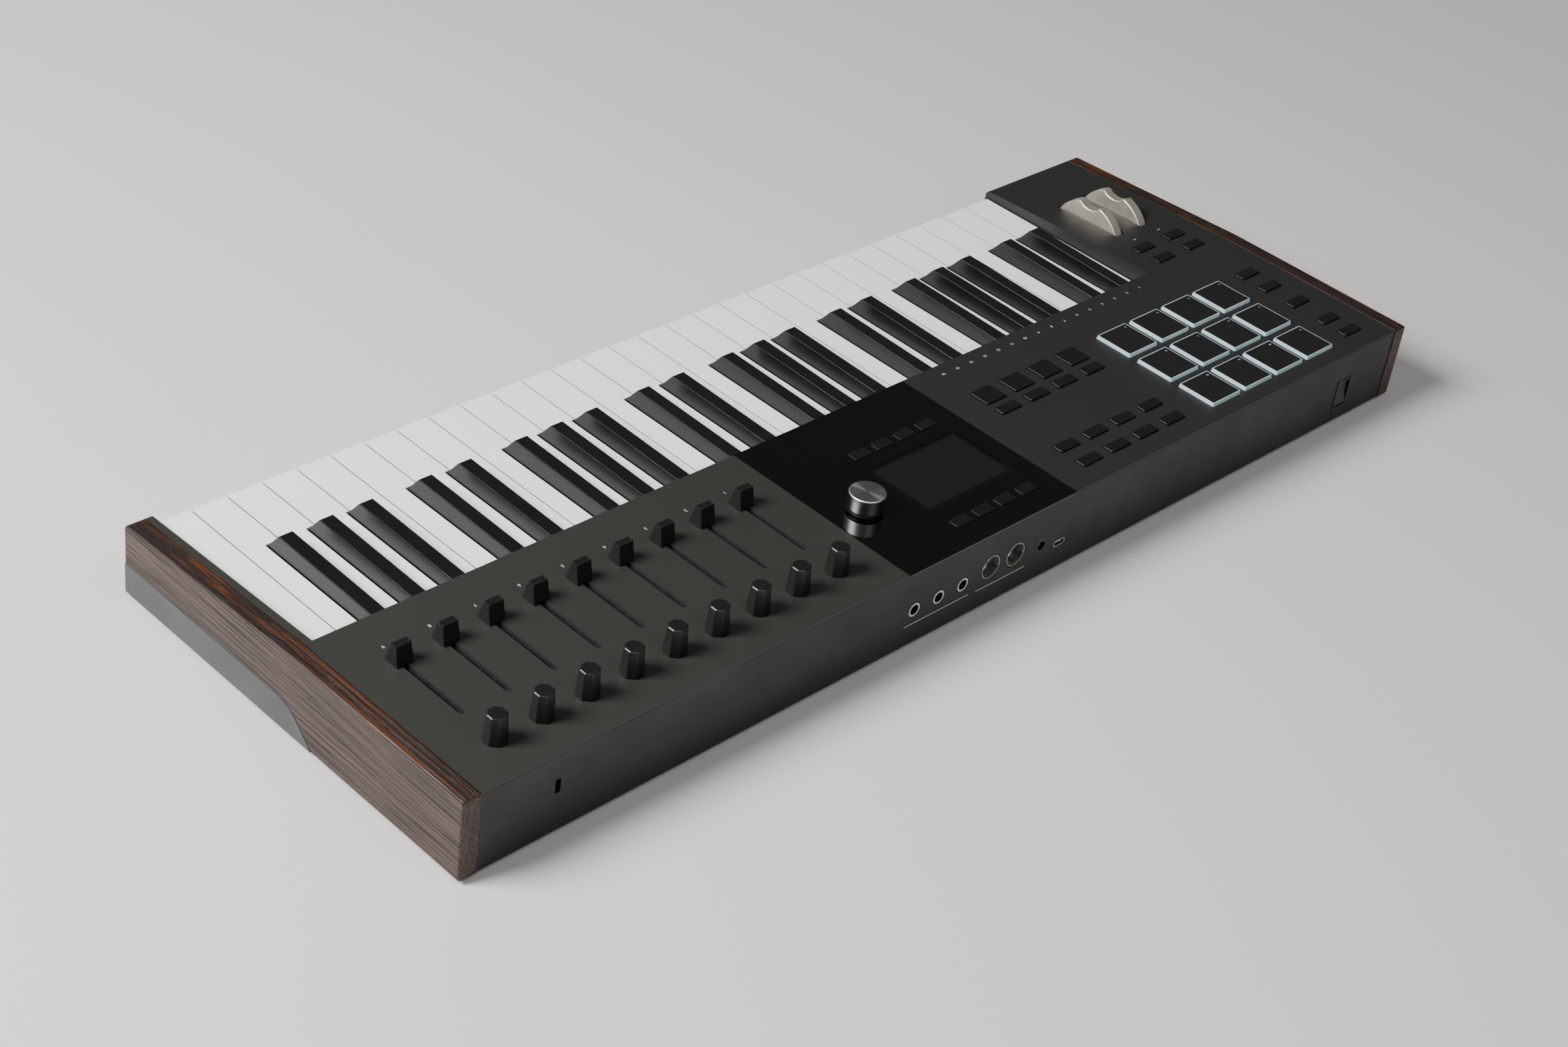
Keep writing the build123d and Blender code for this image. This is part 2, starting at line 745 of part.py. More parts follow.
key_lanes = []
for octave in range(octaves):
    start = row_left + octave * octave_width
    key_lanes += [start + 3 * white_pitch / 5 * (k + 0.5) for k in range(5)]
    key_lanes += [start + 3 * white_pitch + 4 * white_pitch / 7 * (k + 0.5) for k in range(7)]
key_lanes.append(row_left + octaves * octave_width + white_pitch / 2)
spring_top = key_top - plate - spring_gap
with BuildPart() as return_springs:
    with BuildSketch(Plane.XY.offset(floor_top + frame_sheet)):
        with Locations(*[(x, pivot_y + spring_behind_pivot) for x in key_lanes]):
            Circle(spring_radius)
            Circle(spring_radius - spring_wire, mode=Mode.SUBTRACT)
    extrude(amount=spring_top - floor_top - frame_sheet)
    coil_x = wheel_xs[1] + wheel_width / 2 + bracket_gap / 2
    coil_plane = Plane(origin=(coil_x - centring_wire / 2, wheel_y, wheel_axis_height), x_dir=(0, 1, 0),
        z_dir=(1, 0, 0))
    with BuildSketch(coil_plane):
        Circle(centring_coil_radius)
        Circle(centring_coil_radius - centring_wire, mode=Mode.SUBTRACT)
    extrude(amount=centring_wire)
save("return_springs", return_springs)

contact_top = floor_top + contact_board_height
with BuildPart() as contact_strip:
    with BuildSketch(Plane.XY.offset(contact_top + board_thickness)):
        with Locations((frame_left + frame_width / 2, contact_y)):
            Rectangle(frame_width, 2 * dome_radius + 4)
    extrude(amount=1.0)
    with BuildSketch(Plane.XY.offset(contact_top + board_thickness + 1.0)):
        with Locations(*[(x, contact_y) for x in key_lanes]):
            Circle(dome_radius)
    extrude(amount=dome_height, taper=12)
save("contact_strip", contact_strip)

# ---------------------------------------------------------------- circuit boards with their switches
board_bottom = board_top - board_thickness
pad_support_top = panel_under - pad_flange - pad_travel - 0.5
board_front = post_y_front + post_radius + 0.3
board_rear = post_y_rear - post_radius - 0.3
bass_left = -panel_end + floor_wall + 1.0
with BuildPart() as circuit_boards:
    for left, right in (
        (bass_left, centre_left - 1),
        (centre_left + 1, centre_right - 1),
        (centre_right + 1, panel_end - floor_wall - 1),
    ):
        with BuildSketch(Plane.XY.offset(board_bottom)):
            with Locations(((left + right) / 2, (board_front + board_rear) / 2)):
                Rectangle(right - left, board_rear - board_front)
        extrude(amount=board_thickness)
    rear_buttons = [b for b in bass_buttons if b[1] > board_front]
    with BuildSketch(Plane.XY.offset(board_top)):
        with Locations(*[(x, y) for x, y, size in rear_buttons + display_buttons]):
            Rectangle(switch_size, switch_size)
    extrude(amount=switch_height)
    with BuildSketch(Plane.XY.offset(board_top)):
        with Locations(*pad_centres):
            Rectangle(pad_base - 4, pad_base - 4)
    extrude(amount=pad_support_top - board_top)
    pair_board_y = pair_y
    with BuildSketch(Plane.XY.offset(board_bottom)):
        with Locations((pair_x, pair_board_y)):
            Rectangle(wheel_buttons_pitch[0] + 26, wheel_buttons_pitch[1] + 10)
    extrude(amount=board_thickness)
    with BuildSketch(Plane.XY.offset(board_top)):
        with Locations(*[(x, y) for x, y, size in bass_buttons if y < board_front]):
            Rectangle(switch_size, switch_size)
    extrude(amount=switch_height)
    with BuildSketch(Plane.XY.offset(contact_top)):
        with Locations((frame_left + frame_width / 2, contact_y)):
            Rectangle(frame_width, contact_board_width)
    extrude(amount=board_thickness)
    socket_span = (data_x - 10, jack_x + 14)
    socket_board_rear = panel_rear_y - data_depth - 0.3
    with BuildSketch(Plane.XY.offset(socket_board_top - board_thickness)):
        with Locations(((socket_span[0] + socket_span[1]) / 2, socket_board_rear - 14)):
            Rectangle(socket_span[1] - socket_span[0], 28)
    extrude(amount=board_thickness)
save("circuit_boards", circuit_boards)


# ---------------------------------------------------------------- buttons and pads
def button(x, y, size, height):
    """One moulded button: rounded cap through the panel, flange under it, stem over its switch."""
    local_top = top_at(y)
    flange_top = top_at(y - size[1] / 2) - sheet - 0.2
    stem_bottom = board_top + switch_height + button_travel + 0.2
    with BuildPart() as cap:
        with BuildSketch(Plane.XY.offset(flange_top - button_flange / 2)):
            with Locations((x, y)):
                RectangleRounded(size[0], size[1], button_corner)
        extrude(amount=local_top + height - flange_top + button_flange / 2)
        fillet(cap.faces().sort_by(Axis.Z)[-1].edges(), min(button_edge, height / 2))
        with BuildSketch(Plane.XY.offset(flange_top - button_flange)):
            with Locations((x, y)):
                RectangleRounded(size[0] + 2.4, size[1] + 2.4, button_corner)
        extrude(amount=button_flange)
        with BuildSketch(Plane.XY.offset(stem_bottom)):
            with Locations((x, y)):
                Circle(1.6)
        extrude(amount=flange_top - button_flange / 2 - stem_bottom)
    return cap.part


with BuildPart() as panel_buttons:
    for x, y, size in bass_buttons:
        add(button(x, y, size, button_height))
save("panel_buttons", panel_buttons)

with BuildPart() as display_side_buttons:
    for x, y, size in display_buttons:
        add(button(x, y, size, display_button_height))
save("display_buttons", display_side_buttons)

with BuildPart() as pads:
    flange_z = panel_under - 0.2 - pad_flange
    for x, y in pad_centres:
        with BuildSketch(Plane.XY.offset(flange_z)):
            with Locations((x, y)):
                RectangleRounded(pad_base + 2.0, pad_base + 2.0, pad_corner)
        extrude(amount=pad_flange)
        with BuildSketch(Plane.XY.offset(flange_z + pad_flange / 2)):
            with Locations((x, y)):
                RectangleRounded(pad_base, pad_base, pad_corner)
        extrude(amount=panel_top + 0.2 - flange_z - pad_flange / 2)
        with BuildSketch(Plane.XY.offset(panel_top + 0.2)):
            with Locations((x, y)):
                RectangleRounded(pad_base, pad_base, pad_corner)
        pad_lean = degrees(atan((pad_base - pad_top) / 2 / (pad_height - 0.2)))
        extrude(amount=pad_height - 0.2, taper=pad_lean)
save("pads", pads)


# ---------------------------------------------------------------- faders and knobs
def fader(x):
    """Fader cap with a thumb groove across its top, moulded on a flat stem."""
    low_z = panel_top + cap_lift
    high_z = low_z + cap_height
    with BuildPart() as cap:
        with BuildSketch(Plane.XY.offset(low_z)):
            with Locations((x, fader_y)):
                RectangleRounded(*cap_base, 0.6)
        with BuildSketch(Plane.XY.offset(high_z)):
            with Locations((x, fader_y + cap_lean)):
                RectangleRounded(*cap_top, 0.6)
        loft()
        groove_z = high_z + cap_groove_radius - cap_groove_depth
        with Locations((x, fader_y + cap_lean, groove_z)):
            Cylinder(cap_groove_radius, cap_base[0] + 2, rotation=(0, 90, 0), mode=Mode.SUBTRACT)
        stem_bottom = board_top + track_floor + 0.6
        with Locations((x, fader_y, (stem_bottom + low_z + 1) / 2)):
            Box(stem_size[0], stem_size[1], low_z + 1 - stem_bottom)
    return cap


def knob(x, y, base_radius, top_radius, height, sides):
    """Tapered knob with flat sides and a bevelled top edge, on its shaft."""
    low_z = panel_top + control_lift
    with BuildPart() as turning:
        with BuildSketch(Plane.XY.offset(low_z)):
            with Locations((x, y)):
                RegularPolygon(base_radius, sides, rotation=180 / sides)
                fillet(vertices(), 1.0)
        with BuildSketch(Plane.XY.offset(low_z + height)):
            with Locations((x, y)):
                RegularPolygon(top_radius, sides, rotation=180 / sides)
                fillet(vertices(), 0.8)
        loft()
        chamfer(turning.faces().sort_by(Axis.Z)[-1].edges(), knob_edge)
        with Locations((x, y, (board_top + encoder_height / 2 + low_z + 1) / 2)):
            Cylinder(shaft_radius, low_z + 1 - board_top - encoder_height / 2)
    return turning


for index, x in enumerate(control_xs, start=1):
    save(f"fader_{index}", fader(x))
    save(f"knob_{index}", knob(x, knob_y, knob_base_radius, knob_top_radius, knob_height, knob_sides))

with BuildPart() as main_dial:
    dial_low = panel_top + control_lift
    with BuildSketch(Plane.XY.offset(dial_low)):
        with Locations((dial_x, dial_y)):
            Circle(dial_radius)
    extrude(amount=dial_height - control_lift)
    chamfer(main_dial.faces().sort_by(Axis.Z)[-1].edges(), 0.5)
    with BuildSketch(Plane.XY.offset(dial_low + 1.2)):
        with Locations((dial_x, dial_y)):
            Circle(dial_radius + 1)
            Circle(dial_radius - dial_groove, mode=Mode.SUBTRACT)
    extrude(amount=0.6, mode=Mode.SUBTRACT)
    with Locations((dial_x, dial_y, (board_top + encoder_height / 2 + dial_low + 1) / 2)):
        Cylinder(shaft_radius, dial_low + 1 - board_top - encoder_height / 2)
save("main_dial", main_dial)

track_length = fader_travel + 2 * track_end
with BuildPart() as fader_tracks:
    with BuildSketch(Plane.XY.offset(board_top)):
        with Locations(*[(x, fader_y + fader_travel / 2) for x in control_xs]):
            Rectangle(track_width, track_length)
    extrude(amount=track_height)
    with BuildSketch(Plane.XY.offset(board_top + track_floor)):
        with Locations(*[(x, fader_y + fader_travel / 2) for x in control_xs]):
            Rectangle(track_slot_width, fader_travel + stem_size[1] + 2 * track_slot_end)
    extrude(amount=track_height, mode=Mode.SUBTRACT)
save("fader_tracks", fader_tracks)

encoder_places = [(x, knob_y) for x in control_xs] + [(dial_x, dial_y)]
with BuildPart() as encoder_bodies:
    with BuildSketch(Plane.XY.offset(board_top)):
        with Locations(*encoder_places):
            Rectangle(encoder_width, encoder_width)
    extrude(amount=encoder_height)
    with BuildSketch(Plane.XY.offset(board_top + encoder_height)):
        with Locations(*encoder_places):
            Circle(bushing_radius)
    extrude(amount=panel_top - 0.2 - board_top - encoder_height)
    with BuildSketch(Plane.XY.offset(board_top + encoder_height / 2 - 0.4)):
        with Locations(*encoder_places):
            Circle(shaft_radius + shaft_clearance)
    extrude(amount=panel_top - board_top, mode=Mode.SUBTRACT)
    ear_outer = wheel_width / 2 + bracket_gap + bracket_ear
    for x, side in ((wheel_xs[0], 1), (wheel_xs[1], -1)):
        sensor_x = x + side * (ear_outer + wheel_sensor_depth / 2)
        with Locations((sensor_x, wheel_y, wheel_axis_height)):
            Cylinder(wheel_sensor_radius, wheel_sensor_depth, rotation=(0, 90, 0))
save("encoder_bodies", encoder_bodies)

# ---------------------------------------------------------------- display
with BuildPart() as display_screen:
    glass_top = panel_top - display_recess
    with BuildSketch(Plane.XY.offset(glass_top - display_glass)):
        with Locations((display_x, display_y)):
            Rectangle(display_size[0] - 2 * panel_gap, display_size[1] - 2 * panel_gap)
    extrude(amount=display_glass)
    with BuildSketch(Plane.XY.offset(board_top)):
        with Locations((display_x, display_y)):
            Rectangle(display_size[0] - 4, display_size[1] - 4)
    extrude(amount=glass_top - display_glass - board_top)
save("display_screen", display_screen)


# ---------------------------------------------------------------- wheels and their bracket
def hand_wheel(x):
    """Hand wheel with a thumb hollow in its rim, on its axle."""
    with BuildPart() as wheel:
        side_plane = Plane(origin=(x - wheel_width / 2, wheel_y, wheel_axis_height), x_dir=(0, 1, 0),
            z_dir=(1, 0, 0))
        with BuildSketch(side_plane):
            Circle(wheel_radius)
            reach = wheel_radius - thumb_depth + thumb_radius
            with Locations((-reach * sin(radians(thumb_tilt)), reach * cos(radians(thumb_tilt)))):
                Circle(thumb_radius, mode=Mode.SUBTRACT)
        extrude(amount=wheel_width)
        rims = wheel.faces().filter_by(Plane.YZ)
        chamfer([e for face in rims for e in face.edges()], wheel_edge)
        with Locations((x, wheel_y, wheel_axis_height)):
            Cylinder(axle_radius, wheel_width + 2 * bracket_gap + 2 * bracket_ear - 0.8,
                rotation=(0, 90, 0))
    return wheel


save("modulation_wheel", hand_wheel(wheel_xs[0]))
save("pitch_wheel", hand_wheel(wheel_xs[1]))

with BuildPart() as wheel_bracket:
    ear_offset = wheel_width / 2 + bracket_gap + bracket_ear / 2
    bracket_ears = [x + side * ear_offset for x in wheel_xs for side in (-1, 1)]
    bracket_left = min(bracket_ears) - bracket_ear / 2
    bracket_right = max(bracket_ears) + bracket_ear / 2
    with BuildSketch(Plane.XY.offset(floor_top)):
        with Locations(((bracket_left + bracket_right) / 2, wheel_y)):
            Rectangle(bracket_right - bracket_left, 2 * bracket_half_depth)
        with Locations(*[(x, wheel_y) for x in wheel_xs]):
            Rectangle(wheel_width + 2 * bracket_gap - 0.4, 2 * bracket_half_depth - 8, mode=Mode.SUBTRACT)
    extrude(amount=bracket_sheet)
    for x in bracket_ears:
        with BuildSketch(Plane(origin=(x - bracket_ear / 2, wheel_y, 0), x_dir=(0, 1, 0), z_dir=(1, 0, 0))):
            with BuildLine():
                Polyline(
                    (-bracket_half_depth, floor_top),
                    (bracket_half_depth, floor_top),
                    (axle_radius + 4, wheel_axis_height + axle_radius + 3),
                    (-axle_radius - 4, wheel_axis_height + axle_radius + 3),
                    close=True,
                )
            make_face()
            with Locations((0, wheel_axis_height)):
                Circle(axle_radius + axle_clearance, mode=Mode.SUBTRACT)
        extrude(amount=bracket_ear)
save("wheel_bracket", wheel_bracket)

# ---------------------------------------------------------------- sockets
outward = Plane(origin=(0, panel_rear_y, 0), x_dir=(1, 0, 0), z_dir=(0, -1, 0))
with BuildPart() as jack_sockets:
    for x in jack_xs:
        with Locations((x, rear_inner - jack_body[1] / 2, jack_z)):
            Box(*jack_body)
        with Locations((x, panel_rear_y - sheet, jack_z)):
            Cylinder(jack_nose, 2 * sheet, rotation=(90, 0, 0))
        with Locations((x, panel_rear_y - jack_depth / 2, jack_z)):
            Cylinder(jack_bore, jack_depth, rotation=(90, 0, 0), mode=Mode.SUBTRACT)
save("jack_sockets", jack_sockets)

with BuildPart() as round_sockets:
    for x in round_socket_xs:
        with Locations((x, rear_inner - round_socket_body[1] / 2, round_socket_z)):
            Box(*round_socket_body)
        with Locations((x, panel_rear_y - sheet, round_socket_z)):
            Cylinder(round_socket_radius, 2 * sheet, rotation=(90, 0, 0))
        with Locations((x, panel_rear_y - round_socket_depth / 2, round_socket_z)):
            Cylinder(round_socket_inner, round_socket_depth, rotation=(90, 0, 0), mode=Mode.SUBTRACT)
        for k in range(5):
            angle = radians(45 * k)
            pin_x = x + round_socket_pin_circle * cos(angle)
            pin_z = round_socket_z + round_socket_pin_circle * sin(angle)
            with Locations((pin_x, panel_rear_y - round_socket_depth - 2, pin_z)):
                Cylinder(round_socket_pin, 4.2, rotation=(90, 0, 0), mode=Mode.SUBTRACT)
save("round_sockets", round_sockets)

with BuildPart() as power_and_data_inlets:
    with Locations((power_x, panel_rear_y - power_body[1] / 2, power_z)):
        Box(*power_body)
    with Locations((power_x, panel_rear_y - 5, power_z)):
        Cylinder(power_bore, 10, rotation=(90, 0, 0), mode=Mode.SUBTRACT)
    with Locations((power_x, panel_rear_y - 6, power_z)):
        Cylinder(power_pin, 9, rotation=(90, 0, 0))
    with BuildSketch(outward):
        with Locations((data_x, data_z)):
            SlotOverall(data_size[0] + 2 * data_wall, data_size[1] + 2 * data_wall)
    extrude(amount=data_depth)
    with BuildSketch(outward):
        with Locations((data_x, data_z)):
            SlotOverall(*data_size)
    extrude(amount=data_depth - 1, mode=Mode.SUBTRACT)
    with Locations((data_x, panel_rear_y - data_depth / 2 - 0.6, data_z)):
        Box(data_size[0] - 3, data_depth - 1.2, 0.8)
save("power_and_data_inlets", power_and_data_inlets)

# ---------------------------------------------------------------- power switch
with BuildPart() as power_switch_body:
    bezel_width = switch_window[0] + 2 * switch_bezel - 2 * socket_clearance
    bezel_height = switch_window[1] + 2 * switch_bezel - 2 * socket_clearance
    with Locations((switch_x, panel_rear_y + switch_bezel_lift - switch_depth / 2, switch_z)):
        Box(bezel_width, switch_depth, bezel_height)
    with Locations((switch_x, panel_rear_y + switch_bezel_lift - switch_depth / 2 + 1, switch_z)):
        Box(switch_window[0], switch_depth - 2 + 0.001, switch_window[1], mode=Mode.SUBTRACT)
    with Locations((switch_x, panel_rear_y - rocker_pivot_depth, switch_z)):
        Cylinder(rocker_pin_radius, bezel_width, rotation=(0, 90, 0))
save("power_switch_body", power_switch_body)

with BuildPart() as power_rocker:
    rocker_reach = switch_window[1] / 2 - rocker_clearance - 0.5
    rocker_tilt = radians(rocker_half_angle)
    rocker_plane = Plane(
        origin=(switch_x - switch_window[0] / 2 + rocker_clearance, panel_rear_y - rocker_pivot_depth,
            switch_z),
        x_dir=(0, cos(rocker_tilt), sin(rocker_tilt)),
        z_dir=(1, 0, 0),
    )
    crown = rocker_pivot_depth - 1.1
    with BuildSketch(rocker_plane):
        with BuildLine():
            Polyline(
                (-3.0, -rocker_reach + 1.5),
                (crown + 0.6, -rocker_reach),
                (crown, 0),
                (crown + 0.6, rocker_reach),
                (-3.0, rocker_reach - 1.5),
                close=True,
            )
        make_face()
        Circle(rocker_pin_radius + rocker_pin_clearance, mode=Mode.SUBTRACT)
    extrude(amount=switch_window[0] - 2 * rocker_clearance)
save("power_rocker", power_rocker)

# ---------------------------------------------------------------- feet and screws
with BuildPart() as rubber_feet:
    with BuildSketch(Plane.XY):
        with Locations(*[(x, y) for x in foot_xs for y in foot_ys]):
            Circle(foot_radius)
    extrude(amount=foot_height)
    chamfer(rubber_feet.edges().group_by(Axis.Z)[0], 0.6)
save("rubber_feet", rubber_feet)

with BuildPart() as case_screws:
    with BuildSketch(Plane.XY.offset(foot_height - screw_head_height)):
        with Locations(*posts):
            Circle(screw_head_radius)
    extrude(amount=screw_head_height)
    with BuildSketch(Plane.XY.offset(foot_height)):
        with Locations(*posts):
            Circle(screw_radius)
    extrude(amount=screw_depth - 0.5)
    for side in (-1, 1):
        for y in side_screw_ys:
            head_x = panel_end - floor_wall - screw_head_height / 2
            with Locations((side * head_x, y, side_screw_height)):
                Cylinder(screw_head_radius, screw_head_height, rotation=(0, 90, 0))
            shank = floor_wall + panel_gap + side_screw_depth - 0.5
            with Locations((side * (panel_end - floor_wall + shank / 2), y, side_screw_height)):
                Cylinder(screw_radius, shank, rotation=(0, 90, 0))
save("case_screws", case_screws)
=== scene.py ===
import math

import bmesh
import bpy
from mathutils import Euler, Matrix, Vector


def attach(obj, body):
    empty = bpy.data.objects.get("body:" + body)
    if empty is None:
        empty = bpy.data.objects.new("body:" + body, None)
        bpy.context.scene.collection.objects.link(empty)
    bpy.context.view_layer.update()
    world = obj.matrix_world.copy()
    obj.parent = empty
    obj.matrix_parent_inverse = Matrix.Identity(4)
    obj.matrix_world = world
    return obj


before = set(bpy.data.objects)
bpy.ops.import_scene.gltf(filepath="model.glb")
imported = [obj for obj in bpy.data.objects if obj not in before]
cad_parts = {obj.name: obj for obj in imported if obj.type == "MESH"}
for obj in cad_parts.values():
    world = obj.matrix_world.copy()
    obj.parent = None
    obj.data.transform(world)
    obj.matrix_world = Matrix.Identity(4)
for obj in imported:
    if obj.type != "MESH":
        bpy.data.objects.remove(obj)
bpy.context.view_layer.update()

bl_info = {
    "name": "Keyboard synthesizer looks",
    "version": (1, 0, 0),
    "blender": (4, 5, 0),
    "location": "3D View > Sidebar > Keyboard",
    "description": "Surfaces, printed numbers, studio and camera for a keyboard synthesizer",
    "category": "Object",
}

# Places and sizes shared by several pieces, in metres.
PANEL_TOP = 0.0544
FADER_FIRST_X = 0.11288
FADER_PITCH = 0.03028
NUMBER_ROW_Y = 0.0262
CHANNEL_FIRST_X = -0.2806
CHANNEL_PITCH = 0.01277
CHANNEL_ROW_Y = 0.0104
PAD_FIRST = (-0.21945, 0.11845)
PAD_PITCH = (0.0328, 0.034)
PAD_TOP = 0.0564
PAD_FACE_REACH = 0.0131
PAD_NUMBER_INSET = 0.0102
DIAL_CENTRE = (0.0572, 0.0843)
DIAL_CAP_FROM = 0.0575
DISPLAY_CENTRE = (-0.00925, 0.0826)
DISPLAY_REACH = (0.0345, 0.0222)
REAR_FACE_Y = 0.14425
WHEEL_XS = (-0.355, -0.329)
WHEEL_MARK_Y = -0.0335
WHEEL_MARK_REACH = 0.0014
JACKS = ((0.07325, 0.027), (0.05305, 0.027), (0.03285, 0.027))
JACK_RING = (0.0033, 0.0044)
ROUND_SOCKETS = ((0.00925, 0.0295), (-0.01225, 0.0295))
ROUND_SHELL = (0.0066, 0.0075)
DATA_INLET = (-0.05325, 0.021)
DATA_RIM = (0.0, 0.0065)
POWER_FACE = (-0.0405, -0.0316, 0.0197, 0.0313)
# Left end, right end and height of the lines under the jacks and under the round sockets.
REAR_LINES = ((0.02605, 0.07985, 0.0171), (-0.02305, 0.01965, 0.0163))
# A printed or moulded strip starts this far below its surface, so that no gap shows under it.
SUNK = 0.0001
RIM_STANDS = 0.0002
FLOOR_REACH = 6.0
LIGHTS_AIM = (0.0, 0.0, 0.03)
# Scene-linear grey that thin ink fades to.
INK_THIN = (0.25, 0.25, 0.25)


def linear(hex_colour):
    """sRGB hex as scene-linear red, green and blue."""
    values = [int(hex_colour[i:i + 2], 16) / 255 for i in (1, 3, 5)]
    return tuple(v / 12.92 if v <= 0.04045 else ((v + 0.055) / 1.055) ** 2.4 for v in values)


def solid(colour):
    """A colour property as the four numbers a colour socket takes."""
    return (colour[0], colour[1], colour[2], 1.0)


def shade(colour, factor):
    """The same colour, darker or lighter by a factor."""
    return tuple(c * factor for c in colour)


def node(tree, kind, inputs=None, **settings):
    """Adds one node, sets its options, and fills or links its inputs."""
    made = tree.nodes.new(kind)
    for name, value in settings.items():
        setattr(made, name, value)
    for name, value in (inputs or {}).items():
        socket = made.inputs[name]
        if isinstance(value, bpy.types.NodeSocket):
            tree.links.new(value, socket)
        else:
            socket.default_value = value
    return made


def math_node(tree, operation, first, second=0.0):
    """One arithmetic step between two values."""
    return node(tree, "ShaderNodeMath", {0: first, 1: second}, operation=operation).outputs[0]


def blank(name):
    """A material with an empty node tree."""
    material = bpy.data.materials.new(name)
    material.use_nodes = True
    material.node_tree.nodes.clear()
    return material, material.node_tree


def finish(tree, **inputs):
    """Principled surface and output; input names use underscores for spaces."""
    filled = {name.replace("_", " "): value for name, value in inputs.items()}
    shader = node(tree, "ShaderNodeBsdfPrincipled", filled)
    node(tree, "ShaderNodeOutputMaterial", {"Surface": shader.outputs[0]})
    return shader


def object_place(tree):
    """Position on the piece itself, in metres."""
    return node(tree, "ShaderNodeTexCoord").outputs["Object"]


def noise(tree, place, size, detail=3.0, rough=0.55):
    """Even noise whose spots are about size metres."""
    inputs = {"Vector": place, "Scale": 1.0 / size, "Detail": detail, "Roughness": rough}
    return node(tree, "ShaderNodeTexNoise", inputs).outputs[0]


def spread(tree, value, low, high, from_low=0.3, from_high=0.7):
    """Maps a noise value onto a range."""
    inputs = {"Value": value, "From Min": from_low, "From Max": from_high, "To Min": low, "To Max": high}
    return node(tree, "ShaderNodeMapRange", inputs).outputs[0]


def mix(tree, factor, first, second):
    """Blends two colours."""
    return node(tree, "ShaderNodeMix", {0: factor, 6: first, 7: second}, data_type="RGBA").outputs[2]


def relief(tree, height, depth, edge):
    """Normal of a small relief, over edges worn round by edge metres unless edge is zero."""
    inputs = {"Height": height, "Distance": depth, "Strength": 1.0}
    if edge:
        inputs["Normal"] = node(tree, "ShaderNodeBevel", {"Radius": edge}, samples=8).outputs[0]
    return node(tree, "ShaderNodeBump", inputs).outputs[0]


def moulded(name, first, second, spot, rough, grain, depth, edge=0.0, ior=1.5):
    """Material of two near shades with roughness that drifts and a fine grain.

    spot is how wide the shade's drift is and rough holds its two roughness limits. grain and depth are the
    relief's spot size and height, and edge is how far the edges are worn round. All lengths are in metres.
    """
    material, tree = blank(name)
    place = object_place(tree)
    drift = noise(tree, place, spot)
    fine = noise(tree, place, grain, detail=2.0)
    finish(
        tree,
        Base_Color=mix(tree, spread(tree, drift, 0.0, 1.0), solid(first), solid(second)),
        Roughness=spread(tree, drift, rough[0], rough[1]),
        IOR=ior,
        Normal=relief(tree, fine, depth, edge),
    )
    return material


def key_plastic(name, top, side):
    """Polished white plastic.

    The upright flanks carry a painted shade, darker than the tops, so that the narrow gaps between keys read
    as lines.
    """
    material, tree = blank(name)
    place = object_place(tree)
    normal = node(tree, "ShaderNodeNewGeometry").outputs["Normal"]
    across = math_node(tree, "ABSOLUTE", node(tree, "ShaderNodeSeparateXYZ", {"Vector": normal}).outputs[0])
    painted_flank_shade = spread(tree, across, 0.0, 1.0, 0.6, 0.95)
    drift = noise(tree, place, 0.02)
    fine = noise(tree, place, 0.002, detail=2.0)
    body = mix(tree, spread(tree, drift, 0.0, 1.0), solid(top), solid(shade(top, 0.975)))
    gloss = spread(tree, drift, 0.16, 0.24)
    finish(
        tree,
        # Painted shade: the upright flanks are mixed toward the darker side colour and made duller.
        Base_Color=mix(tree, painted_flank_shade, body, solid(side)),
        Roughness=math_node(tree, "ADD", gloss, math_node(tree, "MULTIPLY", painted_flank_shade, 0.3)),
        IOR=1.5,
        Normal=relief(tree, fine, 0.000003, 0.0),
    )
    return material


def open_pore_wood(name, heart, early, pore):
    """Oiled open-pored hardwood: fine dark lines along the board, the upper face warmer than the sides."""
    material, tree = blank(name)
    place = object_place(tree)
    along = node(tree, "ShaderNodeMapping", {"Vector": place, "Scale": (1.0, 0.01, 1.0)}).outputs[0]
    broad = node(tree, "ShaderNodeMapping", {"Vector": place, "Scale": (1.0, 0.06, 1.0)}).outputs[0]
    wander = noise(tree, along, 0.0026, detail=3.0)
    bands = noise(tree, broad, 0.006, detail=4.0, rough=0.6)
    streaks = {"Vector": along, "Scale": 1.0 / 0.00085, "Detail": 1.0, "Roughness": 0.4, "Distortion": 0.15}
    lines = node(tree, "ShaderNodeTexNoise", streaks).outputs[0]
    pores = noise(tree, along, 0.00035, detail=2.0, rough=0.6)
    body = mix(tree, spread(tree, bands, 0.0, 1.0, 0.35, 0.65), solid(heart), solid(early))
    # The upper face is drawn darker and warmer than the sides, chosen by which way each face points: orange
    # between dark streaks.
    normal = node(tree, "ShaderNodeNewGeometry").outputs["Normal"]
    facing = node(tree, "ShaderNodeSeparateXYZ", {"Vector": normal}).outputs[2]
    upper = spread(tree, facing, 0.0, 1.0, 0.4, 0.8)
    streak, between = solid(linear("#22120b")), solid(linear("#552c14"))
    warm = mix(tree, spread(tree, wander, 0.0, 1.0, 0.5, 0.6), streak, between)
    body = mix(tree, upper, body, warm)
    line_mask = spread(tree, lines, 0.0, 0.95, 0.52, 0.56)
    pore_mask = spread(tree, pores, 0.0, 0.6, 0.56, 0.64)
    dark = math_node(tree, "MAXIMUM", line_mask, pore_mask)
    # The pores are open and unfilled, so they sit dark and dull between smoother fibres.
    finish(
        tree,
        Base_Color=mix(tree, dark, body, solid(pore)),
        Roughness=spread(tree, dark, 0.38, 0.62, 0.0, 1.0),
        IOR=1.5,
        Normal=relief(tree, math_node(tree, "SUBTRACT", 1.0, dark), 0.00008, 0.0006),
    )
    return material


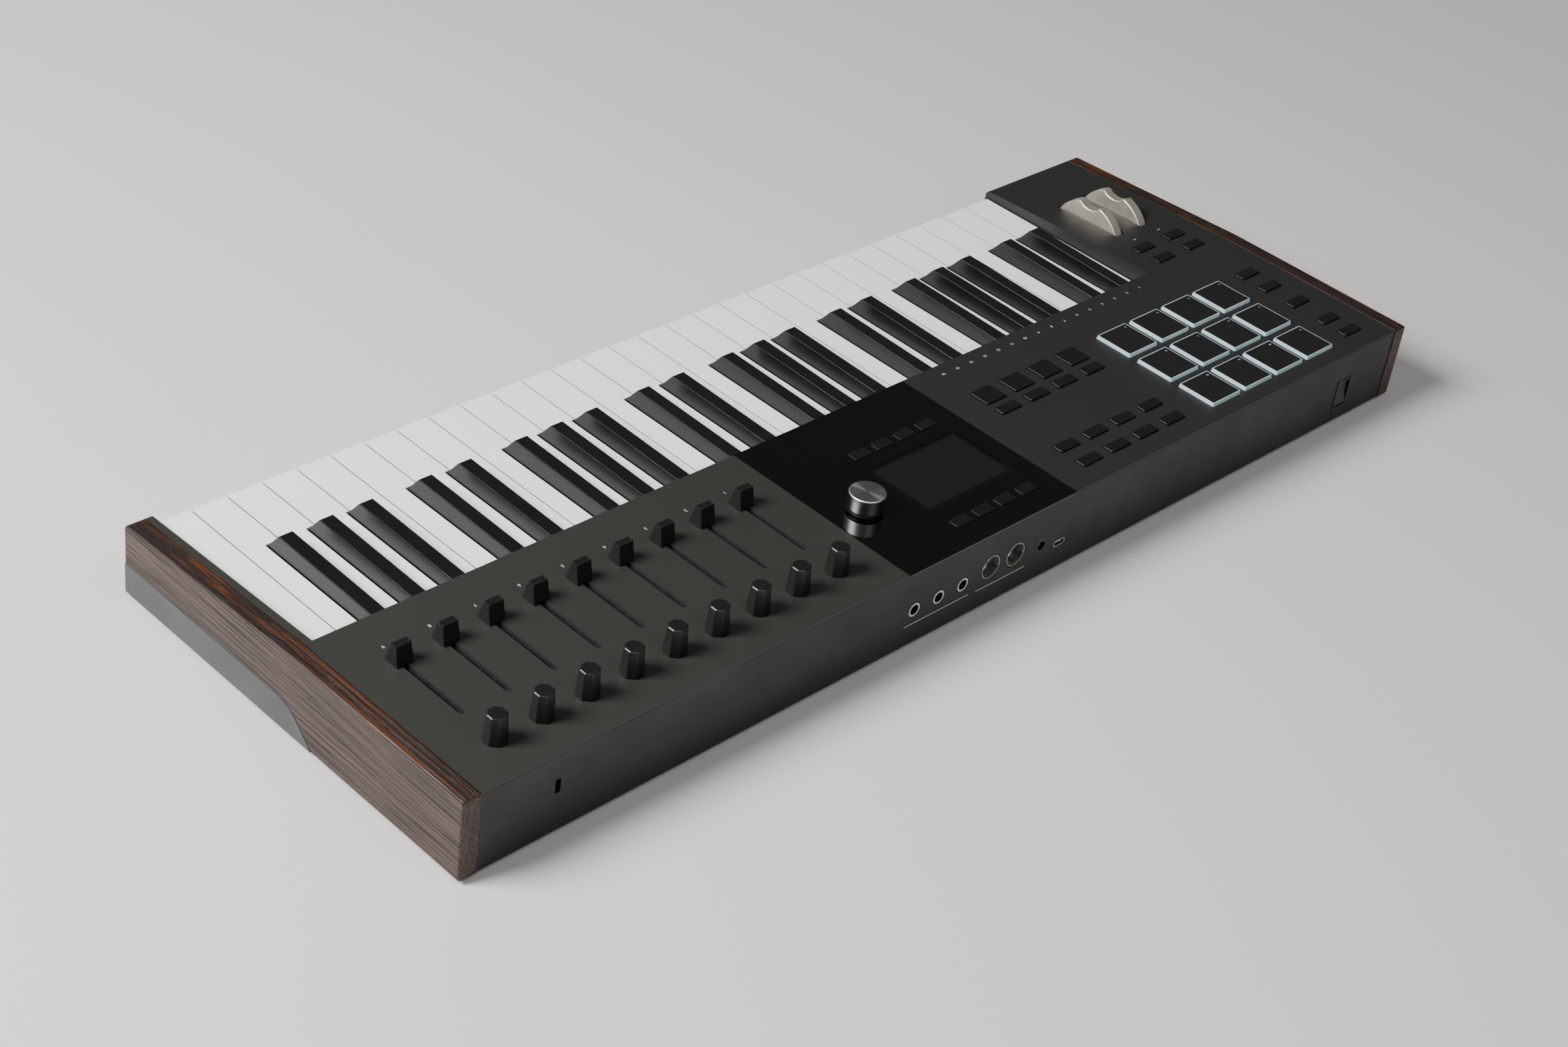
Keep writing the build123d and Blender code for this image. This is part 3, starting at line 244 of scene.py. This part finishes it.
def satin_metal(name, colour, rough, spot, grain, depth):
    """Bead-blasted metal: one hue, soft even sheen, faint cloudiness."""
    material, tree = blank(name)
    place = object_place(tree)
    cloud = noise(tree, place, spot)
    fine = noise(tree, place, grain, detail=2.0)
    finish(
        tree,
        Base_Color=mix(tree, spread(tree, cloud, 0.0, 1.0), solid(colour), solid(shade(colour, 0.86))),
        Metallic=1.0,
        Roughness=spread(tree, cloud, rough[0], rough[1]),
        Normal=relief(tree, fine, depth, 0.0),
    )
    return material


def spun_dial(name, metal, side):
    """Black satin dial with a lathe-turned aluminium top, whose fine rings draw the light into two fans."""
    material, tree = blank(name)
    place = object_place(tree)
    to_centre = {0: place, 1: (-DIAL_CENTRE[0], -DIAL_CENTRE[1], 0.0)}
    centred = node(tree, "ShaderNodeVectorMath", to_centre, operation="ADD")
    parts = node(tree, "ShaderNodeSeparateXYZ", {"Vector": centred.outputs[0]})
    flat = node(tree, "ShaderNodeCombineXYZ", {"X": parts.outputs[0], "Y": parts.outputs[1]})
    radius = node(tree, "ShaderNodeVectorMath", {0: flat.outputs[0]}, operation="LENGTH").outputs["Value"]
    ring_spots = {"W": radius, "Scale": 9000.0, "Detail": 3.0}
    rings = node(tree, "ShaderNodeTexNoise", ring_spots, noise_dimensions="1D").outputs[0]
    turned = mix(tree, rings, solid(metal), solid(shade(metal, 0.72)))
    cap = math_node(tree, "GREATER_THAN", parts.outputs[2], DIAL_CAP_FROM)
    fine = noise(tree, place, 0.0003)
    tangent = node(tree, "ShaderNodeTangent", direction_type="RADIAL", axis="Z")
    finish(
        tree,
        Base_Color=mix(tree, cap, solid(side), turned),
        Metallic=cap,
        Roughness=math_node(tree, "SUBTRACT", 0.42, math_node(tree, "MULTIPLY", cap, 0.14)),
        Anisotropic=math_node(tree, "MULTIPLY", cap, 0.85),
        Tangent=tangent.outputs[0],
        Normal=relief(tree, math_node(tree, "ADD", rings, fine), 0.000004, 0.00025),
    )
    return material


def pad_surface(name, top, skirt):
    """Soft black pad face on a translucent moulding.

    The pale skirt shows as a thin frame round each face, and glows a little of its own.
    """
    material, tree = blank(name)
    place = object_place(tree)
    parts = node(tree, "ShaderNodeSeparateXYZ", {"Vector": place})
    inside = 1.0
    for axis in (0, 1):
        shifted = math_node(tree, "SUBTRACT", parts.outputs[axis], PAD_FIRST[axis])
        reach = math_node(tree, "PINGPONG", shifted, PAD_PITCH[axis] / 2)
        within = math_node(tree, "LESS_THAN", reach, PAD_FACE_REACH)
        inside = math_node(tree, "MULTIPLY", within, inside)
    high = math_node(tree, "GREATER_THAN", parts.outputs[2], PAD_TOP - 0.0003)
    face = math_node(tree, "MULTIPLY", inside, high)
    edge = math_node(tree, "SUBTRACT", 1.0, face)
    cloud = noise(tree, place, 0.012)
    fine = noise(tree, place, 0.00022)
    pale = mix(tree, spread(tree, cloud, 0.0, 1.0), solid(skirt), solid(shade(skirt, 0.8)))
    black = mix(tree, spread(tree, cloud, 0.0, 1.0), solid(top), solid(shade(top, 1.35)))
    finish(
        tree,
        Base_Color=mix(tree, face, pale, black),
        Roughness=math_node(tree, "ADD", 0.36, math_node(tree, "MULTIPLY", face, 0.16)),
        Subsurface_Weight=math_node(tree, "MULTIPLY", edge, 0.35),
        Subsurface_Scale=0.0015,
        Emission_Color=pale,
        Emission_Strength=math_node(tree, "MULTIPLY", edge, 0.1),
        IOR=1.45,
        Normal=relief(tree, fine, 0.000012, 0.0004),
    )
    return material


def socket_surface(name, plastic, metal):
    """Black nylon fittings with metal rings.

    The ring of each jack, the shell of each round socket and the rim of the data inlet are metal.
    """
    material, tree = blank(name)
    place = object_place(tree)
    parts = node(tree, "ShaderNodeSeparateXYZ", {"Vector": place})
    mask = 0.0
    for centres, (low, high) in ((JACKS, JACK_RING), (ROUND_SOCKETS, ROUND_SHELL), ((DATA_INLET,), DATA_RIM)):
        for x, z in centres:
            flat = node(tree, "ShaderNodeCombineXYZ", {"X": parts.outputs[0], "Z": parts.outputs[2]})
            from_centre = {0: flat.outputs[0], 1: (x, 0.0, z)}
            away = node(tree, "ShaderNodeVectorMath", from_centre, operation="DISTANCE").outputs["Value"]
            outside = math_node(tree, "GREATER_THAN", away, low)
            ring = math_node(tree, "MULTIPLY", outside, math_node(tree, "LESS_THAN", away, high))
            mask = math_node(tree, "MAXIMUM", ring, mask)
    cloud = noise(tree, place, 0.004)
    fine = noise(tree, place, 0.0003, detail=2.0)
    mottled = mix(tree, cloud, solid(plastic), solid(shade(plastic, 1.6)))
    dull = spread(tree, cloud, 0.4, 0.5)
    finish(
        tree,
        Base_Color=mix(tree, mask, mottled, solid(metal)),
        Metallic=mask,
        Roughness=math_node(tree, "SUBTRACT", dull, math_node(tree, "MULTIPLY", mask, 0.18)),
        Normal=relief(tree, fine, 0.00001, 0.0),
    )
    return material


def screen_surface(name, border, lit):
    """Cover glass over a switched-off display: deep black border, the panel behind it a shade lighter."""
    material, tree = blank(name)
    place = object_place(tree)
    parts = node(tree, "ShaderNodeSeparateXYZ", {"Vector": place})
    inside = 1.0
    for axis in (0, 1):
        shifted = math_node(tree, "SUBTRACT", parts.outputs[axis], DISPLAY_CENTRE[axis])
        within = math_node(tree, "LESS_THAN", math_node(tree, "ABSOLUTE", shifted), DISPLAY_REACH[axis])
        inside = math_node(tree, "MULTIPLY", within, inside)
    smear = noise(tree, place, 0.018)
    finish(
        tree,
        Base_Color=mix(tree, inside, solid(border), solid(lit)),
        Roughness=spread(tree, smear, 0.03, 0.07),
        IOR=1.52,
        Normal=relief(tree, smear, 0.000002, 0.0002),
    )
    return material


def printed_ink(name, colour):
    """Screen-printed ink, slightly uneven in its cover."""
    material, tree = blank(name)
    place = object_place(tree)
    cover = noise(tree, place, 0.0006)
    finish(
        tree,
        Base_Color=mix(tree, spread(tree, cover, 0.0, 0.25), solid(colour), solid(INK_THIN)),
        Roughness=spread(tree, cover, 0.45, 0.6),
        IOR=1.5,
        Normal=relief(tree, cover, 0.000004, 0.00002),
    )
    return material


def paint(names, material):
    """Gives CAD nodes a material in every slot."""
    for name in names:
        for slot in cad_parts[name].material_slots:
            slot.material = material


def named(prefix, suffix=""):
    """CAD nodes whose names start and end this way."""
    return [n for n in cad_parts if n.startswith(prefix) and n.endswith(suffix)]


def piece(name, shape, material, body):
    """Turns a bmesh into one piece of the object that rides on a body."""
    mesh = bpy.data.meshes.new(name)
    shape.to_mesh(mesh)
    shape.free()
    made = bpy.data.objects.new(name, mesh)
    bpy.context.scene.collection.objects.link(made)
    mesh.materials.append(material)
    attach(made, body)
    return made


def lettering(shape, text, matrix, height, thickness):
    """Adds one upright number to a bmesh, standing on the plane of matrix."""
    curve = bpy.data.curves.new("number", "FONT")
    curve.body = text
    curve.size = height
    curve.align_x = "CENTER"
    curve.align_y = "CENTER"
    curve.extrude = thickness / 2
    curve.resolution_u = 3
    holder = bpy.data.objects.new("number", curve)
    bpy.context.scene.collection.objects.link(holder)
    bpy.context.view_layer.update()
    mesh = bpy.data.meshes.new_from_object(holder.evaluated_get(bpy.context.evaluated_depsgraph_get()))
    mesh.transform(matrix)
    shape.from_mesh(mesh)
    bpy.data.objects.remove(holder)
    bpy.data.curves.remove(curve)
    bpy.data.meshes.remove(mesh)


def bar(shape, low, high):
    """Adds one thin printed bar between two corners to a bmesh."""
    size = Vector(high) - Vector(low)
    middle = (Vector(high) + Vector(low)) / 2
    matrix = Matrix.Translation(middle) @ Matrix.Diagonal((size.x, size.y, size.z, 1.0))
    bmesh.ops.create_cube(shape, size=1.0, matrix=matrix)


class KeyboardCaseLooks(bpy.types.PropertyGroup):
    """Colours of the case and its panels."""

    base: bpy.props.FloatVectorProperty(
        name="Base", description="Moulded base shell",
        subtype="COLOR", size=3, min=0, max=1, default=linear("#464848"))
    rear: bpy.props.FloatVectorProperty(
        name="Rear sheet", description="Rear panel",
        subtype="COLOR", size=3, min=0, max=1, default=linear("#0c0c0d"))
    treble: bpy.props.FloatVectorProperty(
        name="Treble panel", description="Panel under faders and knobs",
        subtype="COLOR", size=3, min=0, max=1, default=linear("#282824"))
    bass: bpy.props.FloatVectorProperty(
        name="Bass panel", description="Panel under pads and wheels",
        subtype="COLOR", size=3, min=0, max=1, default=linear("#212120"))
    centre: bpy.props.FloatVectorProperty(
        name="Centre panel", description="Polished panel round the display",
        subtype="COLOR", size=3, min=0, max=1, default=linear("#030304"))
    wood: bpy.props.FloatVectorProperty(
        name="Wood", description="Heart of the wood sides",
        subtype="COLOR", size=3, min=0, max=1, default=linear("#4a342b"))
    wood_band: bpy.props.FloatVectorProperty(
        name="Wood bands", description="Growth bands of the wood sides",
        subtype="COLOR", size=3, min=0, max=1, default=linear("#38251e"))


class KeyboardControlLooks(bpy.types.PropertyGroup):
    """Colours of keys and controls."""

    white: bpy.props.FloatVectorProperty(
        name="White keys", description="Natural keys",
        subtype="COLOR", size=3, min=0, max=1, default=linear("#fbfaf8"))
    black: bpy.props.FloatVectorProperty(
        name="Black keys", description="Sharp keys",
        subtype="COLOR", size=3, min=0, max=1, default=linear("#0d0d0e"))
    cap: bpy.props.FloatVectorProperty(
        name="Caps", description="Fader caps, knobs and buttons",
        subtype="COLOR", size=3, min=0, max=1, default=linear("#131314"))
    dial: bpy.props.FloatVectorProperty(
        name="Dial top", description="Turned metal on the main dial",
        subtype="COLOR", size=3, min=0, max=1, default=linear("#c9c8c5"))
    wheel: bpy.props.FloatVectorProperty(
        name="Wheels", description="Pitch and modulation wheels",
        subtype="COLOR", size=3, min=0, max=1, default=linear("#e2dccf"))
    skirt: bpy.props.FloatVectorProperty(
        name="Pad skirt", description="Translucent edge of the pads",
        subtype="COLOR", size=3, min=0, max=1, default=linear("#bdd3d8"))


class KeyboardPrintLooks(bpy.types.PropertyGroup):
    """Sizes and colour of the printed numbers and lines."""

    ink: bpy.props.FloatVectorProperty(
        name="Ink", description="Printed numbers and lines",
        subtype="COLOR", size=3, min=0, max=1, default=linear("#d6d6d2"))
    fader_height: bpy.props.FloatProperty(
        name="Fader numbers", description="Type size of the numbers in front of the faders",
        unit="LENGTH", default=0.0034)
    channel_height: bpy.props.FloatProperty(
        name="Channel numbers", description="Type size of the numbers along the keys",
        unit="LENGTH", default=0.003)
    pad_height: bpy.props.FloatProperty(
        name="Pad numbers", description="Type size of the numbers on the pads",
        unit="LENGTH", default=0.0021)
    thickness: bpy.props.FloatProperty(
        name="Ink thickness", description="How far print stands above its surface",
        unit="LENGTH", default=0.00006)
    line: bpy.props.FloatProperty(
        name="Line width", description="Width of the printed lines",
        unit="LENGTH", default=0.0004)


class KeyboardStageLooks(bpy.types.PropertyGroup):
    """Floor, light and camera."""

    floor: bpy.props.FloatVectorProperty(
        name="Floor", description="Plain floor",
        subtype="COLOR", size=3, min=0, max=1, default=linear("#d6d4d0"))
    key_power: bpy.props.FloatProperty(
        name="Key light", description="Soft light from the treble end", unit="POWER", default=112.0)
    fill_power: bpy.props.FloatProperty(
        name="Fill light", description="Broad light from behind the camera", unit="POWER", default=22.0)
    sky: bpy.props.FloatProperty(
        name="Room light", description="Even light from all round", default=0.13)
    camera_place: bpy.props.FloatVectorProperty(
        name="Camera place", description="Where the camera stands", subtype="TRANSLATION", size=3,
        default=(1.05371, 0.88861, 0.92987))
    camera_turn: bpy.props.FloatVectorProperty(
        name="Camera turn", description="Camera rotation", subtype="EULER", size=3,
        default=tuple(math.radians(a) for a in (54.7969, -6.8428, 135.6994)))
    lens: bpy.props.FloatProperty(
        name="Lens", description="Focal length on a 36 mm wide frame", unit="CAMERA", default=62.5)


class KEYBOARD_OT_paint_case(bpy.types.Operator):
    """Surfaces of the base, the rear sheet, the panels and the wood sides"""

    bl_idname = "keyboard.paint_case"
    bl_label = "Paint the case"

    def execute(self, context):
        looks = context.scene.keyboard_case
        # Injection-moulded ABS with a fine spark-eroded texture: an even, dull grey.
        paint(["base_shell"], moulded(
            "moulded_base", looks.base, shade(looks.base, 0.88), 0.03, (0.5, 0.6), 0.00035, 0.00002))
        # Folded steel sheet, black powder coat: dull with a faint orange-peel.
        paint(["rear_panel"], moulded(
            "coated_rear", looks.rear, shade(looks.rear, 0.8), 0.04, (0.46, 0.56), 0.0005, 0.00002))
        # Aluminium sheet under fine matte powder coat: warm charcoal that goes olive where light grazes it.
        paint(["panel_treble"], moulded(
            "coated_treble", looks.treble, shade(looks.treble, 0.86), 0.05, (0.5, 0.6), 0.0003, 0.000018))
        paint(["panel_bass"], moulded(
            "coated_bass", looks.bass, shade(looks.bass, 0.84), 0.05, (0.48, 0.58), 0.0003, 0.000018))
        # Polished acrylic: near-mirror black with a trace of wiping marks.
        paint(["panel_centre"], moulded(
            "polished_centre", looks.centre, shade(looks.centre, 1.3), 0.03, (0.03, 0.07), 0.012, 0.000002,
            ior=1.4))
        # Oiled wenge-like hardwood, planed and sanded, pores left open.
        wood = open_pore_wood("oiled_wood", looks.wood, looks.wood_band, linear("#160c08"))
        paint(named("wood_side_"), wood)
        # Vulcanised rubber: dull black with a dusty bloom.
        paint(["rubber_feet"], moulded(
            "foot_rubber", linear("#171717"), linear("#222221"), 0.004, (0.75, 0.85), 0.0002, 0.00002))
        return {"FINISHED"}


class KEYBOARD_OT_paint_keys(bpy.types.Operator):
    """Surfaces of the white and black keys"""

    bl_idname = "keyboard.paint_keys"
    bl_label = "Paint the keys"

    def execute(self, context):
        looks = context.scene.keyboard_controls
        # Polished moulded plastic: bright white with soft, wide highlights.
        # The grey given as the side colour is painted shade on the upright flanks of the keys.
        white = key_plastic("white_key_plastic", looks.white, linear("#8d8983"))
        # The same plastic in black, satin on top and along the bevels.
        black = moulded(
            "black_key_plastic", looks.black, shade(looks.black, 1.3), 0.02, (0.24, 0.3), 0.0012, 0.000002)
        sharps = named("keys_", "_sharp")
        paint([n for n in named("keys_") if n not in sharps], white)
        paint(sharps, black)
        return {"FINISHED"}


class KEYBOARD_OT_paint_controls(bpy.types.Operator):
    """Surfaces of faders, knobs, dial, buttons, pads, wheels and display"""

    bl_idname = "keyboard.paint_controls"
    bl_label = "Paint the controls"

    def execute(self, context):
        looks = context.scene.keyboard_controls
        # Moulded plastic with a light satin texture: dark faces with clear edge highlights.
        cap = moulded(
            "cap_plastic", looks.cap, shade(looks.cap, 0.8), 0.006, (0.3, 0.38), 0.00022, 0.000008,
            edge=0.00025)
        paint([n for n in named("fader_") if n != "fader_tracks"] + named("knob_"), cap)
        button = moulded(
            "button_plastic", shade(looks.cap, 0.55), shade(looks.cap, 0.4), 0.008, (0.36, 0.46),
            0.00022, 0.000006)
        paint(["panel_buttons", "display_buttons"], button)
        paint(["main_dial"], spun_dial("spun_dial", looks.dial, linear("#111112")))
        paint(["pads"], pad_surface("pad_rubber", linear("#121213"), looks.skirt))
        # Bead-blasted aluminium with a champagne tint: a broad, soft, warm sheen on the faces.
        wheel = satin_metal("wheel_metal", looks.wheel, (0.48, 0.58), 0.006, 0.0002, 0.00001)
        paint(["pitch_wheel", "modulation_wheel"], wheel)
        paint(["display_screen"], screen_surface("display_glass", linear("#020203"), linear("#101112")))
        return {"FINISHED"}


class KEYBOARD_OT_paint_fittings(bpy.types.Operator):
    """Surfaces of sockets, power switch, screws and everything inside the case"""

    bl_idname = "keyboard.paint_fittings"
    bl_label = "Paint the fittings"

    def execute(self, context):
        # Glass-filled nylon: dull black, slightly mottled.
        nylon = moulded(
            "socket_nylon", linear("#121212"), linear("#1c1c1c"), 0.004, (0.4, 0.5), 0.0003, 0.00001)
        # The fader tracks take this black so that the slots above them read dark; their black is painted
        # shade.
        paint(["power_switch_body", "power_rocker", "fader_tracks"], nylon)
        # The same nylon round bright nickel-plated contacts.
        sockets = socket_surface("socket_faces", linear("#141414"), linear("#cfcdc8"))
        paint(["jack_sockets", "round_sockets", "power_and_data_inlets"], sockets)
        frame_nylon = moulded(
            "frame_nylon", linear("#3c3c3b"), linear("#333332"), 0.02, (0.45, 0.55), 0.0004, 0.00002)
        paint(["key_frame", "wheel_bracket", "encoder_bodies"], frame_nylon)
        # Zinc-plated steel: pale grey, cloudy, half bright.
        zinc = satin_metal("zinc_steel", linear("#b8b9b8"), (0.28, 0.42), 0.004, 0.0003, 0.000006)
        paint(["case_screws", "key_pivot_rod"], zinc)
        wire = satin_metal("spring_wire", linear("#8f8f8d"), (0.25, 0.35), 0.003, 0.0002, 0.000006)
        paint(["return_springs"], wire)
        # Pressed wool felt: fibrous and fully dull.
        paint(["key_felts"], moulded(
            "wool_felt", linear("#7a2320"), linear("#5f1a18"), 0.002, (0.9, 0.98), 0.0003, 0.0001))
        # Moulded silicone rubber: pale grey and dull.
        paint(["contact_strip"], moulded(
            "silicone_strip", linear("#8c8c88"), linear("#7c7c78"), 0.006, (0.6, 0.7), 0.0004, 0.00001))
        # Glass-epoxy board under green solder mask: glossy with a faint weave.
        paint(["circuit_boards"], moulded(
            "board_laminate", linear("#1f5134"), linear("#18432b"), 0.003, (0.25, 0.35), 0.0008, 0.00001))
        return {"FINISHED"}


class KEYBOARD_OT_print_numbers(bpy.types.Operator):
    """Printed numbers of the faders, the channels and the pads"""

    bl_idname = "keyboard.print_numbers"
    bl_label = "Print the numbers"

    def execute(self, context):
        looks = context.scene.keyboard_print
        # Screen-printed epoxy ink: pale grey, a little uneven.
        ink = printed_ink("panel_ink", looks.ink)
        shape = bmesh.new()
        for i in range(9):
            place = Matrix.Translation((FADER_FIRST_X + FADER_PITCH * i, NUMBER_ROW_Y, PANEL_TOP))
            lettering(shape, str(i + 1), place, looks.fader_height, looks.thickness)
        piece("fader_numbers", shape, ink, "case")
        shape = bmesh.new()
        for i in range(16):
            place = Matrix.Translation((CHANNEL_FIRST_X + CHANNEL_PITCH * i, CHANNEL_ROW_Y, PANEL_TOP))
            lettering(shape, str(i + 1), place, looks.channel_height, looks.thickness)
        piece("channel_numbers", shape, ink, "case")
        shape = bmesh.new()
        for row in range(3):
            for column in range(4):
                x = PAD_FIRST[0] - PAD_PITCH[0] * (3 - column) - PAD_NUMBER_INSET
                y = PAD_FIRST[1] - PAD_PITCH[1] * (2 - row) - PAD_NUMBER_INSET
                place = Matrix.Translation((x, y, PAD_TOP))
                lettering(shape, str(4 * row + column + 1), place, looks.pad_height, looks.thickness)
        piece("pad_numbers", shape, ink, "pads")
        return {"FINISHED"}


class KEYBOARD_OT_print_lines(bpy.types.Operator):
    """Printed lines under the rear sockets, short marks behind the wheels and the rim of the power inlet"""

    bl_idname = "keyboard.print_lines"
    bl_label = "Print the lines"

    def execute(self, context):
        looks = context.scene.keyboard_print
        ink = printed_ink("line_ink", looks.ink)
        shape = bmesh.new()
        half_line, half_ink = looks.line / 2, looks.thickness / 2
        for left, right, z in REAR_LINES:
            low = (left, REAR_FACE_Y - SUNK, z - half_line)
            bar(shape, low, (right, REAR_FACE_Y + half_ink, z + half_line))
        piece("rear_lines", shape, ink, "case")
        shape = bmesh.new()
        for x in WHEEL_XS:
            low = (x - WHEEL_MARK_REACH, WHEEL_MARK_Y - half_line, PANEL_TOP - SUNK)
            bar(shape, low, (x + WHEEL_MARK_REACH, WHEEL_MARK_Y + half_line, PANEL_TOP + half_ink))
        piece("wheel_marks", shape, ink, "case")
        # A slim grey rim, lighter than the black nylon fittings, is drawn round the power inlet's face on the
        # rear sheet.
        rim = moulded(
            "inlet_rim", linear("#4a4a4a"), linear("#3c3c3c"), 0.004, (0.35, 0.45), 0.0003, 0.000005)
        shape = bmesh.new()
        left, right, low, high = POWER_FACE
        back, front = REAR_FACE_Y - SUNK, REAR_FACE_Y + RIM_STANDS
        bar(shape, (left, back, low), (left + looks.line, front, high))
        bar(shape, (right - looks.line, back, low), (right, front, high))
        bar(shape, (left + looks.line, back, low), (right - looks.line, front, low + looks.line))
        bar(shape, (left + looks.line, back, high - looks.line), (right - looks.line, front, high))
        piece("inlet_rim", shape, rim, "case")
        return {"FINISHED"}


class KEYBOARD_OT_build_stage(bpy.types.Operator):
    """Pale floor, soft lights and the camera"""

    bl_idname = "keyboard.build_stage"
    bl_label = "Build the stage"

    def execute(self, context):
        looks = context.scene.keyboard_stage
        scene = context.scene
        mesh = bpy.data.meshes.new("floor")
        reach = FLOOR_REACH
        corners = [(-reach, -reach, 0), (reach, -reach, 0), (reach, reach, 0), (-reach, reach, 0)]
        mesh.from_pydata(corners, [], [(0, 1, 2, 3)])
        floor = bpy.data.objects.new("floor", mesh)
        scene.collection.objects.link(floor)
        # Seamless studio paper: pale, dull, with a faint tooth.
        paper = moulded(
            "studio_paper", looks.floor, shade(looks.floor, 0.98), 0.4, (0.85, 0.92), 0.0008, 0.00002,
            edge=0.0001)
        mesh.materials.append(paper)
        centre = Vector(LIGHTS_AIM)
        for name, place, size, power in (
            ("key_light", (1.65, -0.6, 1.6), 1.1, looks.key_power),
            ("fill_light", (0.2, 1.6, 2.1), 2.2, looks.fill_power),
        ):
            data = bpy.data.lights.new(name, "AREA")
            data.shape = "DISK"
            data.size = size
            data.energy = power
            lamp = bpy.data.objects.new(name, data)
            lamp.location = place
            lamp.rotation_euler = (centre - Vector(place)).to_track_quat("-Z", "Y").to_euler()
            scene.collection.objects.link(lamp)
        world = bpy.data.worlds.new("studio")
        world.use_nodes = True
        world.node_tree.nodes.clear()
        even_white = {"Color": (1.0, 1.0, 1.0, 1.0), "Strength": looks.sky}
        sky = node(world.node_tree, "ShaderNodeBackground", even_white)
        node(world.node_tree, "ShaderNodeOutputWorld", {"Surface": sky.outputs[0]})
        scene.world = world
        data = bpy.data.cameras.new("camera")
        data.sensor_width = 36.0
        data.lens = looks.lens
        data.clip_start, data.clip_end = 0.05, 30.0
        camera = bpy.data.objects.new("camera", data)
        camera.location = looks.camera_place
        camera.rotation_euler = Euler(looks.camera_turn, "XYZ")
        scene.collection.objects.link(camera)
        scene.camera = camera
        return {"FINISHED"}


class KEYBOARD_PT_looks(bpy.types.Panel):
    """Lists the pieces and the stage"""

    bl_idname = "KEYBOARD_PT_looks"
    bl_label = "Keyboard synthesizer"
    bl_space_type = "VIEW_3D"
    bl_region_type = "UI"
    bl_category = "Keyboard"

    def draw(self, context):
        for group in ("keyboard_case", "keyboard_controls", "keyboard_print", "keyboard_stage"):
            box = self.layout.box()
            settings = getattr(context.scene, group)
            for name in settings.__annotations__:
                box.prop(settings, name)
        for operator in OPERATORS:
            self.layout.operator(operator.bl_idname)


OPERATORS = (
    KEYBOARD_OT_paint_case,
    KEYBOARD_OT_paint_keys,
    KEYBOARD_OT_paint_controls,
    KEYBOARD_OT_paint_fittings,
    KEYBOARD_OT_print_numbers,
    KEYBOARD_OT_print_lines,
    KEYBOARD_OT_build_stage,
)
GROUPS = (
    ("keyboard_case", KeyboardCaseLooks),
    ("keyboard_controls", KeyboardControlLooks),
    ("keyboard_print", KeyboardPrintLooks),
    ("keyboard_stage", KeyboardStageLooks),
)


def register():
    for name, group in GROUPS:
        bpy.utils.register_class(group)
        setattr(bpy.types.Scene, name, bpy.props.PointerProperty(type=group))
    for operator in OPERATORS:
        bpy.utils.register_class(operator)
    bpy.utils.register_class(KEYBOARD_PT_looks)


def unregister():
    bpy.utils.unregister_class(KEYBOARD_PT_looks)
    for operator in reversed(OPERATORS):
        bpy.utils.unregister_class(operator)
    for name, group in reversed(GROUPS):
        delattr(bpy.types.Scene, name)
        bpy.utils.unregister_class(group)


def main():
    """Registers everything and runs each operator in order."""
    register()
    bpy.ops.keyboard.paint_case()
    bpy.ops.keyboard.paint_keys()
    bpy.ops.keyboard.paint_controls()
    bpy.ops.keyboard.paint_fittings()
    bpy.ops.keyboard.print_numbers()
    bpy.ops.keyboard.print_lines()
    bpy.ops.keyboard.build_stage()


if __name__ == "__main__":
    main()
